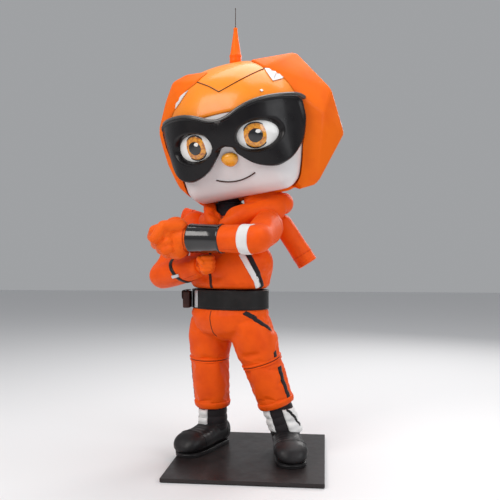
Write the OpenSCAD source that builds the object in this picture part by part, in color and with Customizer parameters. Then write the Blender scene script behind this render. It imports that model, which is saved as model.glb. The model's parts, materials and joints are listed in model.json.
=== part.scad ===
// Life-size mascot display figure: a jointed foam and shell figure in an orange suit,
// on steel leg frames bolted to a flat base plate.
// Millimetres. Origin under the centre of the base, +Z up, the plate's front edge towards -Y.

/* [Base] */
// Width of the base plate
base_w = 640; // [600:5:700]
// Depth of the base plate
base_d = 730; // [690:5:800]
// Thickness of the steel plate
plate_t = 15; // [12:1:20]
// Thickness of the rubber mat under the plate
mat_t = 3; // [2:0.5:4]

/* [Stance] */
// Sideways place of the trunk's centre line on the plate
body_x = -100; // [-110:5:-90]
// Front to back place of the trunk's centre line on the plate
body_y = 45; // [40:5:50]
// Turn of the trunk about the vertical
body_yaw = -30; // [-33:1:-27]
// Turn of the right foot about the vertical
right_foot_yaw = -25; // [-30:1:-20]
// Turn of the left foot about the vertical
left_foot_yaw = 10; // [5:1:15]

/* [Trunk] */
// Half width of the trunk at the belt
waist_r = 188; // [184:1:192]
// Depth of the trunk as a share of its width
flatness = 0.70; // [0.68:0.01:0.72]
// Height of the belt's lower edge
belt_z = 652; // [650:1:656]
// Height of the belt strap
belt_h = 84; // [80:1:86]
// Height of the shoulder joints
shoulder_z = 1010; // [1006:1:1014]

/* [Head] */
// Height of the head's centre
head_z = 1424; // [1420:1:1428]
// Turn of the head about the vertical
head_yaw = -11; // [-14:1:-8]
// Sideways lean of the head
head_roll = -9; // [-10:1:-8]
// Forward tilt of the head
head_pitch = 12; // [10:1:12]
// Wall of the moulded head shells
shell_t = 6; // [5:0.5:7]

/* [Fits] */
// Radial clearance of a shaft that turns in its bore
run = 0.05; // [0.02:0.01:0.08]
// Gap between soft parts that lie against each other
gap = 0.3; // [0.2:0.1:0.5]

/* [Hidden] */

LEFT = 1;
RIGHT = -1;

// Heights on the legs
plate_top = mat_t + plate_t;
flange_t = 8;
ankle_z = 110;
shaft_low = 100;
shaft_lap = 24;
left_cuff_z = 230;
right_cuff_z = 200;
knee_z = 422;
hip_z = 600;
hip_half = 100;

// Leg frames: steel tube on a round flange, and the screws that hold it
tube_r = 14;
tube_bore = 11;
flange_r = 34;
screw_r = 4;
screw_ring = 24;
screw_head_r = 8;
screw_head_t = 4;

// Radii of the padded legs, measured square to the leg
shaft_r = 66;
cuff_r = 75;
knee_r = 85;
thigh_r = 97;

// Foot shell, about the ankle
sole_t = 14;
toe_r = 70;
toe_y = -178;
instep_r = 62;
heel_r = 58;

// Waist and neck couplings
spigot_r = 16;
socket_r = 26;
socket_top = 730;
post_r = 20;
neck_seat_z = 1150;
neck_pin_r = 12;
nod_z = 1205;
nod_r = 8;

// Trunk: half width against height, from the belt's top edge to the neck
belt_top = belt_z + belt_h;
jacket_z0 = belt_top + 1;
jacket_outline = [
  [178, jacket_z0], [187, 752], [192, 790], [197, 830], [196, 865], [178, 905], [146, 945], [127, 975],
  [118, 1000], [110, 1018], [94, 1036], [66, 1050]
];
pelvis_outline = [[96, 518], [146, 542], [176, 580], [189, 622], [190, belt_z - 1]];
belt_core = [[waist_r - 11, belt_z - 1], [waist_r - 11, belt_top]];

// Hood ring
hood_z = 1046;
hood_tilt = 12;
hood_ring = 112;
hood_r = 36;
// Its outer roll, draped behind the left shoulder: x, y, height and radius
hood_drape = [
  [62, -110, 1046, 28], [130, -60, 1074, 36], [176, 24, 1100, 43], [206, 96, 1112, 46], [138, 164, 1108, 46],
  [20, 196, 1096, 42], [-92, 176, 1074, 36]
];

// Shoulders, elbows, wrists and hands in the trunk's frame: x to the figure's left, -y forward
shoulder_half = 195;
cap_r = 72;
elbow_r = 60;
elbow_lap = 98;
arm_pin_r = 8;
elbow_pin_r = 6;
left_elbow = [275, -195, 950];
left_wrist = [-10, -255, 957];
right_elbow = [-252, -155, 800];
right_wrist = [-8, -190, 842];
left_wrist_r = 54;
right_wrist_r = 44;
cuff_len = 160;
cuff_wall = 7;

// Belt furniture, by angle from the trunk's front
buckle_angle = -28;
pouch_angle = -60;
pouch_size = [64, 30, 74];
pouch_wall = 3;
flap_t = 4;
flap_pin_r = 1.5;
pouch_back = 177;
pouch_bottom = belt_z + 1;
flap_axis_y = -pouch_back - 4;
flap_axis_z = pouch_bottom + pouch_size.z + 3;

// Head: spheres whose hull is the skull, in the head's frame, and the layers laid on it
skull_balls = [
  [42, 10, 30, 260], [-42, 10, 30, 260],
  [170, -105, -190, 82], [-170, -105, -190, 82],
  [130, 95, -165, 105], [-130, 95, -165, 105]
];
head_centre = [body_x + 48, body_y - 40, head_z];
dome_t = 6;
mask_t = 26;
eye_t = 11;
split_y = -30;
neck_hole_r = 84;
eye_at = [134, -28];
eye_size = [84, 58];
nose_z = -104;
nose_r = 36;
nose_t = 34;

// Spike on the crown, and the wire that stands in its tip
spike_at = [-72, 25];
spike_r = 26;
spike_top = 1890;

// Right half of the mask's outline, seen from the front: x and height, from the bridge's top round to its underside
mask_half = [
  [0, 57], [42, 65], [88, 86], [142, 102], [200, 107], [257, 104], [290, 97], [304, 84], [308, 66], [306, 4],
  [295, -57], [276, -109], [248, -150], [216, -168], [184, -172], [138, -158], [98, -136], [68, -109], [40, -76],
  [20, -52], [0, -46]
];

// Outer corners of the two cowls, in the head's frame. They share the corners at the back
cowl_left_corners = [
  [128, -48, 284], [302, 62, 283], [424, 60, 98], [440, 80, -98], [308, -68, -282], [225, -98, -288],
  [385, -30, 0], [190, -90, 238], [236, -50, 224], [296, 5, 128], [314, -20, 58], [308, -55, -60], [268, -84, -240]
];
cowl_right_corners = [
  [-45, -110, 272], [-95, -156, 240], [-190, -172, 166], [-250, -138, 124], [-163, -60, 288], [-224, -82, 268],
  [-272, -97, 190], [-336, -98, 72], [-328, -90, -70], [-292, -116, -178], [-250, -116, -232],
  [-200, -104, -274], [-150, -92, -286]
];
cowl_back_corners = [
  [8, 200, 262], [250, 290, 140], [300, 290, -130], [8, 330, 20], [8, 250, -215], [120, 240, -232], [262, 120, 276]
];

function swing(p, a) = [p.x * cos(a) - p.y * sin(a), p.x * sin(a) + p.y * cos(a), p.z];
function in_world(p) = swing(p, body_yaw) + [body_x, body_y, 0];
function hip(side) = in_world([side * hip_half, 0, hip_z]);
function foot(side) = side == LEFT ? [182, 44, plate_top] : [-190, 132, plate_top];
function leg_at(side, z) = foot(side) + (hip(side) - foot(side)) * (z - plate_top) / (hip_z - plate_top);
function cuff_z(side) = side == LEFT ? left_cuff_z : right_cuff_z;
function foot_yaw(side) = side == LEFT ? left_foot_yaw : right_foot_yaw;
function shoulder(side) = [side * shoulder_half, 0, shoulder_z];
function elbow(side) = side == LEFT ? left_elbow : right_elbow;
function wrist(side) = side == LEFT ? left_wrist : right_wrist;
function wrist_r(side) = side == LEFT ? left_wrist_r : right_wrist_r;
function unit(v) = v / norm(v);
function cowl_corners(side) = concat(
  side == LEFT ? cowl_left_corners : cowl_right_corners,
  [for (p = cowl_back_corners) [side * p.x, p.y, p.z]]);
function mirrored(points) = [for (i = [len(points) - 1:-1:0]) [-points[i].x, points[i].y]];
function beyond(a, b, d) = b + unit(b - a) * d;
function arc(x, z, r, from, to, n = 7) =
  [for (i = [0:n]) [x + r * cos(from + (to - from) * i / n), z + r * sin(from + (to - from) * i / n)]];
function grown(outline, d) = [for (p = outline) [p.x + d, p.y]];

// Frames
module on_body() translate([body_x, body_y, 0]) rotate(body_yaw) children();
module on_head() translate(head_centre) rotate([head_pitch, 0, 0] + [0, head_roll, head_yaw]) children();
module at_foot(side) translate([leg_at(side, ankle_z).x, leg_at(side, ankle_z).y, plate_top])
  rotate(foot_yaw(side)) children();
module along(a, b) translate(a) rotate([0, acos(unit(b - a).z), atan2((b - a).y, (b - a).x)]) children();

// A round limb from a to b; each end is a half ball or a flat cut
module limb(a, b, ra, rb, round_a = true, round_b = true) along(a, b) rotate(23)
  rotate_extrude($fn = 64) polygon(concat(
    round_a ? arc(0, 0, ra, -90, 0) : [[0, 0], [ra, 0]],
    round_b ? arc(0, norm(b - a), rb, 0, 90) : [[rb, norm(b - a)], [0, norm(b - a)]]));

// A solid of the trunk: an outline of half widths, flattened front to back
module trunk(outline) on_body() scale([1, flatness, 1]) rotate_extrude($fn = 192)
  polygon(concat([[0, outline[0].y]], outline, [[0, outline[len(outline) - 1].y]]));

// Base
module base_mat() color("black") translate([-base_w / 2 + 4, -base_d / 2 + 4, 0])
  cube([base_w - 8, base_d - 8, mat_t]);

module screw_places(side) for (i = [0:3]) translate([foot(side).x, foot(side).y, 0])
  rotate(45 + 90 * i) translate([screw_ring, 0, mat_t]) children();

module screw(extra) {
  cylinder(h = plate_t + flange_t - 2 + extra, r = screw_r + extra, $fn = 32);
  cylinder(h = screw_head_t, r1 = screw_head_r + extra, r2 = screw_r + extra, $fn = 32);
}

module base_plate() color("#2a2628") difference() {
  translate([-base_w / 2, -base_d / 2, mat_t]) cube([base_w, base_d, plate_t]);
  for (side = [LEFT, RIGHT]) screw_places(side) screw(gap);
}

module base_screws() color("silver") for (side = [LEFT, RIGHT]) screw_places(side) screw(0);

// Leg frames: flange and slanted tube, cut level under the hip frame
module leg_tube(side, r) intersection() {
  limb(foot(side) - (hip(side) - foot(side)) * 0.02, hip(side) + (hip(side) - foot(side)) * 0.05,
    r, r, false, false);
  translate([-base_w / 2, -base_d / 2, plate_top]) cube([base_w, base_d, hip_z - plate_top]);
}

module leg_frame(side) color("dimgray") difference() {
  union() {
    leg_tube(side, tube_r);
    translate(foot(side)) cylinder(h = flange_t, r = flange_r, $fn = 48);
  }
  leg_tube(side, tube_bore);
  screw_places(side) screw(gap);
}

module frame_space(side) {
  leg_tube(side, tube_r + gap);
  translate(foot(side)) cylinder(h = flange_t + gap, r = flange_r + gap, $fn = 48);
}

// Boots
module foot_outline(d) hull() {
  translate([0, toe_y]) circle(r = toe_r + d, $fn = 48);
  translate([0, 35]) circle(r = heel_r + d, $fn = 48);
}

module foot_ball(p, r) translate(p) sphere(r = r, $fn = 40);

module sole(side) color("#141214") difference() {
  at_foot(side) linear_extrude(sole_t) foot_outline(2);
  frame_space(side);
}

module shoe(side) color("#1d1a1b") difference() {
  at_foot(side) intersection() {
    hull() {
      foot_ball([0, toe_y, 40], toe_r);
      foot_ball([0, -60, 68], instep_r);
      foot_ball([0, 35, 62], heel_r);
    }
    translate([-150, -300, sole_t + gap]) cube([300, 450, 200]);
  }
  frame_space(side);
  shaft_solid(side, gap);
}

module shaft_solid(side, d)
  limb(leg_at(side, shaft_low - d), leg_at(side, cuff_z(side) + shaft_lap + d), shaft_r + d, shaft_r - 4 + d, false, false);

module boot_shaft(side) color("#18161a") difference() {
  shaft_solid(side, 0);
  frame_space(side);
}

// White quilted panels on the outside and back of each boot shaft
module boot_panel(side, angle, width) difference() {
  intersection() {
    limb(leg_at(side, 112), leg_at(side, cuff_z(side) - 2), shaft_r + 6, shaft_r + 5, false, false);
    translate([leg_at(side, 140).x, leg_at(side, 140).y, 60]) rotate(foot_yaw(side) + angle)
      translate([-width / 2, -130, 0]) cube([width, 100, 200]);
  }
  shaft_solid(side, gap);
  at_foot(side) hull() {
    foot_ball([0, -60, 68], instep_r + gap);
    foot_ball([0, 35, 62], heel_r + gap);
  }
}

module boot_panels() color("white") {
  boot_panel(RIGHT, -62, 44);
  boot_panel(LEFT, 40, 44);
  boot_panel(LEFT, -62, 44);
}

// Padded trouser legs
module shin_solid(side, d)
  limb(leg_at(side, cuff_z(side)), leg_at(side, knee_z), cuff_r + d, knee_r + d, false, false);

module thigh_solid(side, d)
  limb(leg_at(side, knee_z), leg_at(side, hip_z - 60), knee_r + d, thigh_r + d, false, true);

module shin(side) color("#f45a08") difference() {
  shin_solid(side, 0);
  frame_space(side);
  shaft_solid(side, gap);
}

module thigh(side) color("#f45a08") difference() {
  thigh_solid(side, 0);
  frame_space(side);
  trunk(concat([[90, 516]], grown(pelvis_outline, gap)));
}

// Black tape down the outside of each leg
module leg_stripe(side) intersection() {
  difference() {
    union() {
      limb(leg_at(side, cuff_z(side) + 40), leg_at(side, knee_z - gap), cuff_r + 4, knee_r + 2, false, false);
      limb(leg_at(side, knee_z + gap), leg_at(side, hip_z - 80), knee_r + 2, thigh_r + 2, false, false);
    }
    shin_solid(side, gap);
    thigh_solid(side, gap);
  }
  along(leg_at(side, cuff_z(side)), leg_at(side, hip_z)) rotate(side == LEFT ? 148 : 158)
    translate([-9, 40, 20]) cube([18, 90, 400]);
}

module leg_stripes() color("#1a1618") for (side = [LEFT, RIGHT]) leg_stripe(side);

// Hip frame: crossbar over the leg tubes with the socket that the trunk's spigot turns in
module hip_frame_solid(d) on_body() {
  translate([-hip_half - 24 - d, -22 - d, hip_z]) cube([2 * (hip_half + 24 + d), 44 + 2 * d, 22 + d]);
  translate([0, 0, hip_z]) cylinder(h = socket_top - hip_z + d, r = socket_r + d, $fn = 48);
}

module hip_frame() color("dimgray") difference() {
  hip_frame_solid(0);
  on_body() translate([0, 0, hip_z + 30]) cylinder(h = socket_top, r = spigot_r + run, $fn = 48);
}

module pelvis() color("#f45a08") difference() {
  trunk(concat(pelvis_outline, belt_core));
  for (side = [LEFT, RIGHT]) leg_tube(side, tube_r + gap);
  hip_frame_solid(gap);
  on_body() translate([0, 0, socket_top - 1]) cylinder(h = 20, r = socket_r + 2, $fn = 48);
}

module belt_ring(inner, outer, z, h) scale([1, flatness, 1]) translate([0, 0, z]) difference() {
  cylinder(h = h, r = outer, $fn = 180);
  translate([0, 0, -1]) cylinder(h = h + 2, r = inner, $fn = 180);
}

module belt() color("#201c1e") on_body() belt_ring(waist_r - 10, waist_r, belt_z, belt_h);

module at_belt(angle) on_body() rotate(angle) children();

module buckle() color("silver") intersection() {
  on_body() belt_ring(waist_r + gap, waist_r + 7, belt_z + 1, belt_h - 2);
  at_belt(buckle_angle) translate([-30, -waist_r - 20, belt_z]) cube([60, 120, belt_h]);
}

// Belt pouch: an open-topped box, and the flap that closes it on a pin along its back edge
module pouch() color("#2c1a18") at_belt(pouch_angle) {
  translate([0, -pouch_back, pouch_bottom]) difference() {
    translate([-pouch_size.x / 2, -pouch_size.y, 0]) cube(pouch_size);
    translate([-pouch_size.x / 2 + pouch_wall, -pouch_size.y + pouch_wall, pouch_wall])
      cube([pouch_size.x - 2 * pouch_wall, pouch_size.y - 2 * pouch_wall, pouch_size.z]);
  }
  for (x = [-26, 18]) translate([x, 0, 0]) difference() {
    hull() {
      translate([0, flap_axis_y, flap_axis_z]) rotate([0, 90, 0]) cylinder(h = 8, r = 3, $fn = 24);
      translate([0, -pouch_back - 3, flap_axis_z - 6]) cube([8, 3, 3]);
    }
    translate([-1, flap_axis_y, flap_axis_z]) rotate([0, 90, 0])
      cylinder(h = 10, r = flap_pin_r + run, $fn = 24);
  }
}

module pouch_flap() color("#24120f") at_belt(pouch_angle) {
  translate([-26, flap_axis_y, flap_axis_z]) rotate([0, 90, 0]) cylinder(h = 52, r = flap_pin_r, $fn = 24);
  translate([-17, flap_axis_y, flap_axis_z]) rotate([0, 90, 0]) cylinder(h = 34, r = 3, $fn = 24);
  difference() {
    translate([-pouch_size.x / 2 - 2, -pouch_back - pouch_size.y - flap_t, pouch_bottom + 40])
      cube([pouch_size.x + 4, pouch_size.y + flap_t - 4, pouch_size.z - 40 + flap_t]);
    translate([-pouch_size.x / 2 - 5, -pouch_back - pouch_size.y - gap, pouch_bottom + 39])
      cube([pouch_size.x + 10, pouch_size.y + 2, pouch_size.z - 39 + gap]);
    for (x = [-26.5, 17.5]) translate([x, flap_axis_y - 4, flap_axis_z - 6]) cube([9, 12, 12]);
  }
}

// Trunk frame: spigot, post and neck spigot in one turned piece, and the crossbar for the arms
module torso_post() color("dimgray") on_body() difference() {
  union() {
    translate([0, 0, hip_z + 34]) cylinder(h = jacket_z0 - hip_z - 30, r = spigot_r, $fn = 48);
    translate([0, 0, jacket_z0]) cylinder(h = 10, r = 60, $fn = 48);
    translate([0, 0, jacket_z0 + 5]) cylinder(h = neck_seat_z - jacket_z0 - 5, r = post_r, $fn = 48);
    translate([0, 0, neck_seat_z - 5]) cylinder(h = 38, r = neck_pin_r, $fn = 48);
  }
  shoulder_bar_solid(gap);
}

module post_space(d) on_body() {
  translate([0, 0, jacket_z0 - 1]) cylinder(h = 11 + d, r = 60 + d, $fn = 48);
  translate([0, 0, jacket_z0]) cylinder(h = 450, r = post_r + d, $fn = 48);
}

module shoulder_bar_solid(d) {
  translate([-shoulder_half + 14 - d, -9 - d, shoulder_z - 13 - d])
    cube([2 * (shoulder_half - 14 + d), 18 + 2 * d, 26 + 2 * d]);
  for (side = [LEFT, RIGHT]) translate(shoulder(side)) rotate([90, 0, 0])
    cylinder(h = 18 + 2 * d, r = 22 + d, center = true, $fn = 48);
}

module shoulder_bar() color("dimgray") on_body() difference() {
  shoulder_bar_solid(0);
  for (side = [LEFT, RIGHT]) translate(shoulder(side)) rotate([90, 0, 0])
    cylinder(h = 40, r = arm_pin_r + run, center = true, $fn = 48);
}

module shoulder_balls(d) on_body() for (side = [LEFT, RIGHT]) translate(shoulder(side))
  rotate([90, 0, 17]) sphere(r = cap_r + d, $fn = 64);

// Room for an upper arm, which lies against the padded chest
module arm_room(side, d) on_body() limb(shoulder(side), elbow(side), cap_r + d, elbow_r + d, true, true);

module jacket() color("#f8620a") difference() {
  trunk(jacket_outline);
  post_space(gap);
  on_body() shoulder_bar_solid(gap);
  arm_room(RIGHT, 3);
}

module jacket_skin(from, to) difference() {
  trunk(grown([for (p = jacket_outline) if (p.y < 990) p], to));
  trunk(concat([[170, jacket_z0 - 5]], grown([for (p = jacket_outline) if (p.y < 1020) p], from)));
}

module zip_front() color("#4a1a08") intersection() {
  jacket_skin(gap, 3.5);
  on_body() translate([-4, -waist_r, jacket_z0 + 3]) cube([8, waist_r, 220]);
}

module jacket_stripe(side, shift, width) difference() {
  intersection() {
    jacket_skin(gap, 2.5);
    on_body() mirror([side == LEFT ? 0 : 1, 0, 0]) rotate(62) translate([shift, 0, 812]) rotate([0, 40, 0])
      translate([-width / 2, -waist_r - 10, -98]) cube([width, waist_r, 190]);
  }
  arm_room(RIGHT, 3);
}

module jacket_stripes() for (side = [LEFT, RIGHT]) {
  color("white") jacket_stripe(side, -14, 22);
  color("#1a1618") jacket_stripe(side, 14, 24);
}

module collar() color("#141318") on_body() difference() {
  translate([0, 0, 1051]) cylinder(h = 66, r1 = 64, r2 = 58, $fn = 64);
  translate([0, 0, 1040]) cylinder(h = 90, r = post_r + gap, $fn = 48);
}

// Hood laid back round the neck: a thick ring, higher at the nape, over the shoulders
module on_hood() on_body() translate([0, 14, hood_z]) rotate([hood_tilt, 0, 0]) children();

module hood_roll(d, from, to) on_body() for (i = [from:to]) hull() for (p = [hood_drape[i], hood_drape[i + 1]])
  translate([p[0], p[1], p[2]]) sphere(r = p[3] + d, $fn = 20);

module hood() color("#f4500a") difference() {
  union() {
    on_hood() rotate_extrude($fn = 60) translate([hood_ring, 0]) circle(r = hood_r, $fn = 32);
    hood_roll(0, 0, len(hood_drape) - 2);
  }
  trunk(concat([[150, 900]], grown([for (p = jacket_outline) if (p.y > 950) p], 1)));
  on_body() translate([0, 0, 1000]) cylinder(h = 200, r = 65, $fn = 64);
  on_body() shoulder_bar_solid(gap);
  arm_room(LEFT, 3);
  arm_room(RIGHT, 3);
}

module sleeve_tail(a, b, r, roll) color("#f8620a") difference() {
  on_body() limb(a, b, r, r + 4, true, false);
  trunk(grown(jacket_outline, 2));
  shoulder_balls(6);
  on_hood() cylinder(h = 120, r = hood_ring + hood_r + 2, center = true, $fn = 72);
  hood_roll(2, roll, roll);
}

module sleeve_tail_left() sleeve_tail([178, 150, 1030], [280, 205, 850], 38, 3);
module sleeve_tail_right() sleeve_tail([-165, 140, 1030], [-338, 76, 1078], 34, 5);

// Neck: a yoke that turns on the post's spigot and carries the nod pin
module on_nod() translate([body_x, body_y, nod_z]) rotate([0, head_roll, head_yaw]) children();

module neck_yoke() color("dimgray") difference() {
  union() {
    translate([body_x, body_y, neck_seat_z + gap]) cylinder(h = 34, r = 24, $fn = 48);
    on_nod() for (x = [-26, 16]) translate([x, -15, -38]) cube([10, 30, 54]);
    on_nod() translate([-26, -15, -38]) cube([52, 30, 12]);
  }
  translate([body_x, body_y, neck_seat_z - 1]) cylinder(h = 42, r = neck_pin_r + run, $fn = 48);
  on_nod() rotate([0, 90, 0]) cylinder(h = 80, r = nod_r + run, center = true, $fn = 48);
}

module nod_pin() color("silver") on_nod() rotate([0, 90, 0])
  cylinder(h = 56, r = nod_r, center = true, $fn = 48);

// Head frame: a lug on the nod pin under a plate that fills the skull from wall to wall
module head_frame() color("dimgray") difference() {
  union() {
    on_nod() translate([-15, -14, -14]) cube([30, 28, 66]);
    intersection() {
      on_nod() translate([-300, -250, 46]) cube([600, 500, 10]);
      on_head() skull(-shell_t - 0.5);
    }
  }
  on_nod() rotate([0, 90, 0]) cylinder(h = 80, r = nod_r + run, center = true, $fn = 48);
}

// Head shells
module skull(d) hull() for (b = skull_balls) translate([b[0], b[1], b[2]]) sphere(r = b[3] + d, $fn = 32);

module skull_layer(from, to) difference() {
  skull(to);
  skull(from);
}

module neck_hole(r) translate([body_x, body_y, 1000]) cylinder(h = 240, r = r, $fn = 48);

module face_shell() color("#e9e4e2") difference() {
  on_head() intersection() {
    skull_layer(-shell_t, 0);
    translate([-400, -400 - gap, -400]) cube([800, 400 + split_y, 800]);
  }
  neck_hole(neck_hole_r);
}

module head_back() color("#f4700f") difference() {
  on_head() intersection() {
    skull_layer(-shell_t, 0);
    translate([-400, split_y, -400]) cube([800, 400, 800]);
  }
  neck_hole(neck_hole_r);
}

module brow_dome() color("#fd8a1f") on_head() intersection() {
  skull_layer(0.5, dome_t);
  rotate([-28, 0, 0]) translate([-400, -400, -50]) cube([800, 800, 500]);
}

module cowl(side) color("#f4620c") difference() {
  on_head() mirror([side == LEFT ? 0 : 1, 0, 0]) difference() {
    hull() for (p = cowl_corners(side)) translate([p.x * side, p.y, p.z]) sphere(r = 6, $fn = 12);
    skull(dome_t + 1);
    intersection() {
      skull(mask_t + 1);
      from_front() offset(delta = 2) mask_outline();
    }
    translate([-399, -400, -500]) cube([400, 900, 1000]);
  }
  neck_hole(neck_hole_r + 30);
  translate([spike_at.x, spike_at.y, 1650]) cylinder(h = 200, r = spike_r + 2, $fn = 48);
}

// Mask: a plain eye mask with two oval openings, laid on the face
module mask_outline() polygon(concat(mask_half, mirrored([for (p = mask_half) if (p.x > 0) p])));

module eye_outline(s, d) translate([s * eye_at.x, eye_at.y])
  polygon([for (a = [0:9:351]) [(eye_size.x + d) * cos(a), (eye_size.y + d) * sin(a)]]);

module from_front() rotate([90, 0, 0]) linear_extrude(400) children();

module mask() color("#161214") on_head() intersection() {
  skull_layer(0.5 + dome_t, mask_t);
  from_front() difference() {
    mask_outline();
    for (s = [-1, 1]) eye_outline(s, 0);
  }
}

module eye(s) color("white") on_head() intersection() {
  skull_layer(0.5, eye_t);
  from_front() eye_outline(s, -1);
}

module nose() color("#f5a623") on_head() intersection() {
  skull_layer(0.5, nose_t);
  from_front() translate([0, nose_z]) circle(r = nose_r, $fn = 12);
}

module mouth() color("#141214") on_head() intersection() {
  skull_layer(0.5, 4);
  from_front() intersection() {
    difference() {
      translate([0, -85]) circle(r = 128, $fn = 96);
      translate([0, -85]) circle(r = 123, $fn = 96);
    }
    translate([-84, -230]) square([168, 60]);
  }
}

module spike() color("#f47b12") difference() {
  translate([spike_at.x, spike_at.y, 1650]) cylinder(h = spike_top - 1650, r1 = spike_r, r2 = 8, $fn = 48);
  on_head() skull(dome_t + 0.5);
}

module aerial() color("#5a4a44") translate([spike_at.x, spike_at.y, spike_top]) cylinder(h = 88, r = 1.5, $fn = 24);

// Arms, in the trunk's frame. The shoulder cap straddles the crossbar's eye; the elbow is a lap joint
// Half of the lap joint at an elbow: everything on one side of its middle plane
module elbow_half(side, up) translate(elbow(side) + [0, 0, up ? -gap : -100 + gap])
  cylinder(h = 100, r = elbow_lap + (up ? gap : 0), $fn = 64);

module upper_arm(side) color("#fb7417") on_body() difference() {
  limb(shoulder(side), elbow(side), cap_r, elbow_r, true, true);
  translate(shoulder(side)) {
    translate([side == LEFT ? -90 : -26, -10, -42]) cube([116, 20, 84]);
    rotate([90, 0, 0]) cylinder(h = 200, r = arm_pin_r, center = true, $fn = 48);
  }
  translate(elbow(side)) {
    cylinder(h = 200, r = elbow_pin_r, center = true, $fn = 48);
  }
  elbow_half(side, false);
}

module shoulder_pin(side) color("silver") on_body() translate(shoulder(side))
  rotate([90, 0, 0]) cylinder(h = 110, r = arm_pin_r, center = true, $fn = 48);

module elbow_pin(side) color("silver") on_body() translate(elbow(side))
  cylinder(h = 96, r = elbow_pin_r, center = true, $fn = 48);

module forearm(side) color("#fb7417") on_body() difference() {
  limb(elbow(side), wrist(side), elbow_r, wrist_r(side), true, false);
  elbow_half(side, true);
  translate(elbow(side)) cylinder(h = 200, r = elbow_pin_r + run, center = true, $fn = 48);
  wrist_pin_solid(side, 0);
}

module wrist_pin_solid(side, d)
  limb(beyond(elbow(side), wrist(side), -40 - d), beyond(elbow(side), wrist(side), 36 + d),
    arm_pin_r + d, arm_pin_r + d, false, false);

module wrist_pin(side) color("silver") on_body() wrist_pin_solid(side, 0);

// Glossy black gauntlet cuff round the left forearm
module cuff_left() color("#0f0e10") on_body() difference() {
  limb(beyond(left_elbow, left_wrist, -cuff_len), left_wrist, left_wrist_r + cuff_wall, left_wrist_r + cuff_wall, false, false);
  limb(beyond(left_elbow, left_wrist, -cuff_len - 1), beyond(left_elbow, left_wrist, 1),
    left_wrist_r + 3 + gap, left_wrist_r + gap, false, false);
}

// Gloved fists, in a frame whose Z runs on from the forearm
module at_wrist(side) along(wrist(side), beyond(elbow(side), wrist(side), 10)) children();

module hand(side, r) color("#fb6c12") on_body() difference() {
  at_wrist(side) union() {
    translate([0, 0, 1]) cylinder(h = 30, r = wrist_r(side) - 4, $fn = 48);
    hull() {
      translate([0, 0, r + 2]) sphere(r = r, $fn = 32);
      translate([r * 0.4, 0, r * 1.7]) sphere(r = r * 0.9, $fn = 32);
      translate([r * 1.05, 0, r * 1.85]) sphere(r = r * 0.75, $fn = 32);
    }
  }
  wrist_pin_solid(side, run);
}

base_mat();
base_plate();
base_screws();
leg_frame(LEFT);  // leg_frame_left
leg_frame(RIGHT);  // leg_frame_right
sole(LEFT);  // sole_left
sole(RIGHT);  // sole_right
shoe(LEFT);  // shoe_left
shoe(RIGHT);  // shoe_right
boot_shaft(LEFT);  // boot_shaft_left
boot_shaft(RIGHT);  // boot_shaft_right
boot_panels();
shin(LEFT);  // shin_left
shin(RIGHT);  // shin_right
thigh(LEFT);  // thigh_left
thigh(RIGHT);  // thigh_right
leg_stripes();
pelvis();
hip_frame();
belt();
buckle();
pouch();
pouch_flap();
torso_post();
shoulder_bar();
jacket();
zip_front();
jacket_stripes();
collar();
hood();
sleeve_tail_left();
sleeve_tail_right();
neck_yoke();
nod_pin();
head_frame();
face_shell();
head_back();
brow_dome();
cowl(LEFT);  // cowl_left
cowl(RIGHT);  // cowl_right
mask();
eye(1);  // eye_left
eye(-1);  // eye_right
nose();
mouth();
spike();
aerial();
upper_arm(LEFT);  // upper_arm_left
elbow_pin(LEFT);  // elbow_pin_left
forearm(LEFT);  // forearm_left
cuff_left();
hand(LEFT, 55);  // hand_left
upper_arm(RIGHT);  // upper_arm_right
elbow_pin(RIGHT);  // elbow_pin_right
forearm(RIGHT);  // forearm_right
hand(RIGHT, 34);  // hand_right
shoulder_pin(LEFT);  // shoulder_pin_left
shoulder_pin(RIGHT);  // shoulder_pin_right
wrist_pin(LEFT);  // wrist_pin_left
wrist_pin(RIGHT);  // wrist_pin_right
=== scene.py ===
"""Looks of the mascot display figure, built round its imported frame. Metres, +Z up, front towards -Y."""

import json
import math

import bmesh
import bpy
import numpy as np
from mathutils import Euler, Matrix, Vector, noise
from mathutils.bvhtree import BVHTree


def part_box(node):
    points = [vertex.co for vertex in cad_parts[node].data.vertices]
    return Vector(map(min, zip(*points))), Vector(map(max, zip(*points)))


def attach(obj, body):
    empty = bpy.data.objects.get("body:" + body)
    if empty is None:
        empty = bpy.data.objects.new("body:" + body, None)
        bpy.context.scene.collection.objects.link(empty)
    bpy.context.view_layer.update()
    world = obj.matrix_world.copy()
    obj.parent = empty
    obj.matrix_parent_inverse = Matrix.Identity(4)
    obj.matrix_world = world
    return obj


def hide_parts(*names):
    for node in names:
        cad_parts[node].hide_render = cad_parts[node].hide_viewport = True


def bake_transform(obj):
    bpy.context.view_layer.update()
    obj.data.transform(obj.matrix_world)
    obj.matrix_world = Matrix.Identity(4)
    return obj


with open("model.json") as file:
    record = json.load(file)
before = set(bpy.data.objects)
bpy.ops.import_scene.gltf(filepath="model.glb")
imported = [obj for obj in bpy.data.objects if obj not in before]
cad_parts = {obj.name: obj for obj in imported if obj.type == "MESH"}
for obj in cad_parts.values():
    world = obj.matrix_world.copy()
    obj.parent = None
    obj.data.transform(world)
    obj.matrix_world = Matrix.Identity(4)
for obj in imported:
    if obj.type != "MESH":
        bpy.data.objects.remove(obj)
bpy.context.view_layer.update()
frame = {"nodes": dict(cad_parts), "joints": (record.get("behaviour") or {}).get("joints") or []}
JOINTS = {j["name"]: Vector(j["pos_m"]) for j in frame["joints"]}

# ---------------------------------------------------------------- frames

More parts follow.
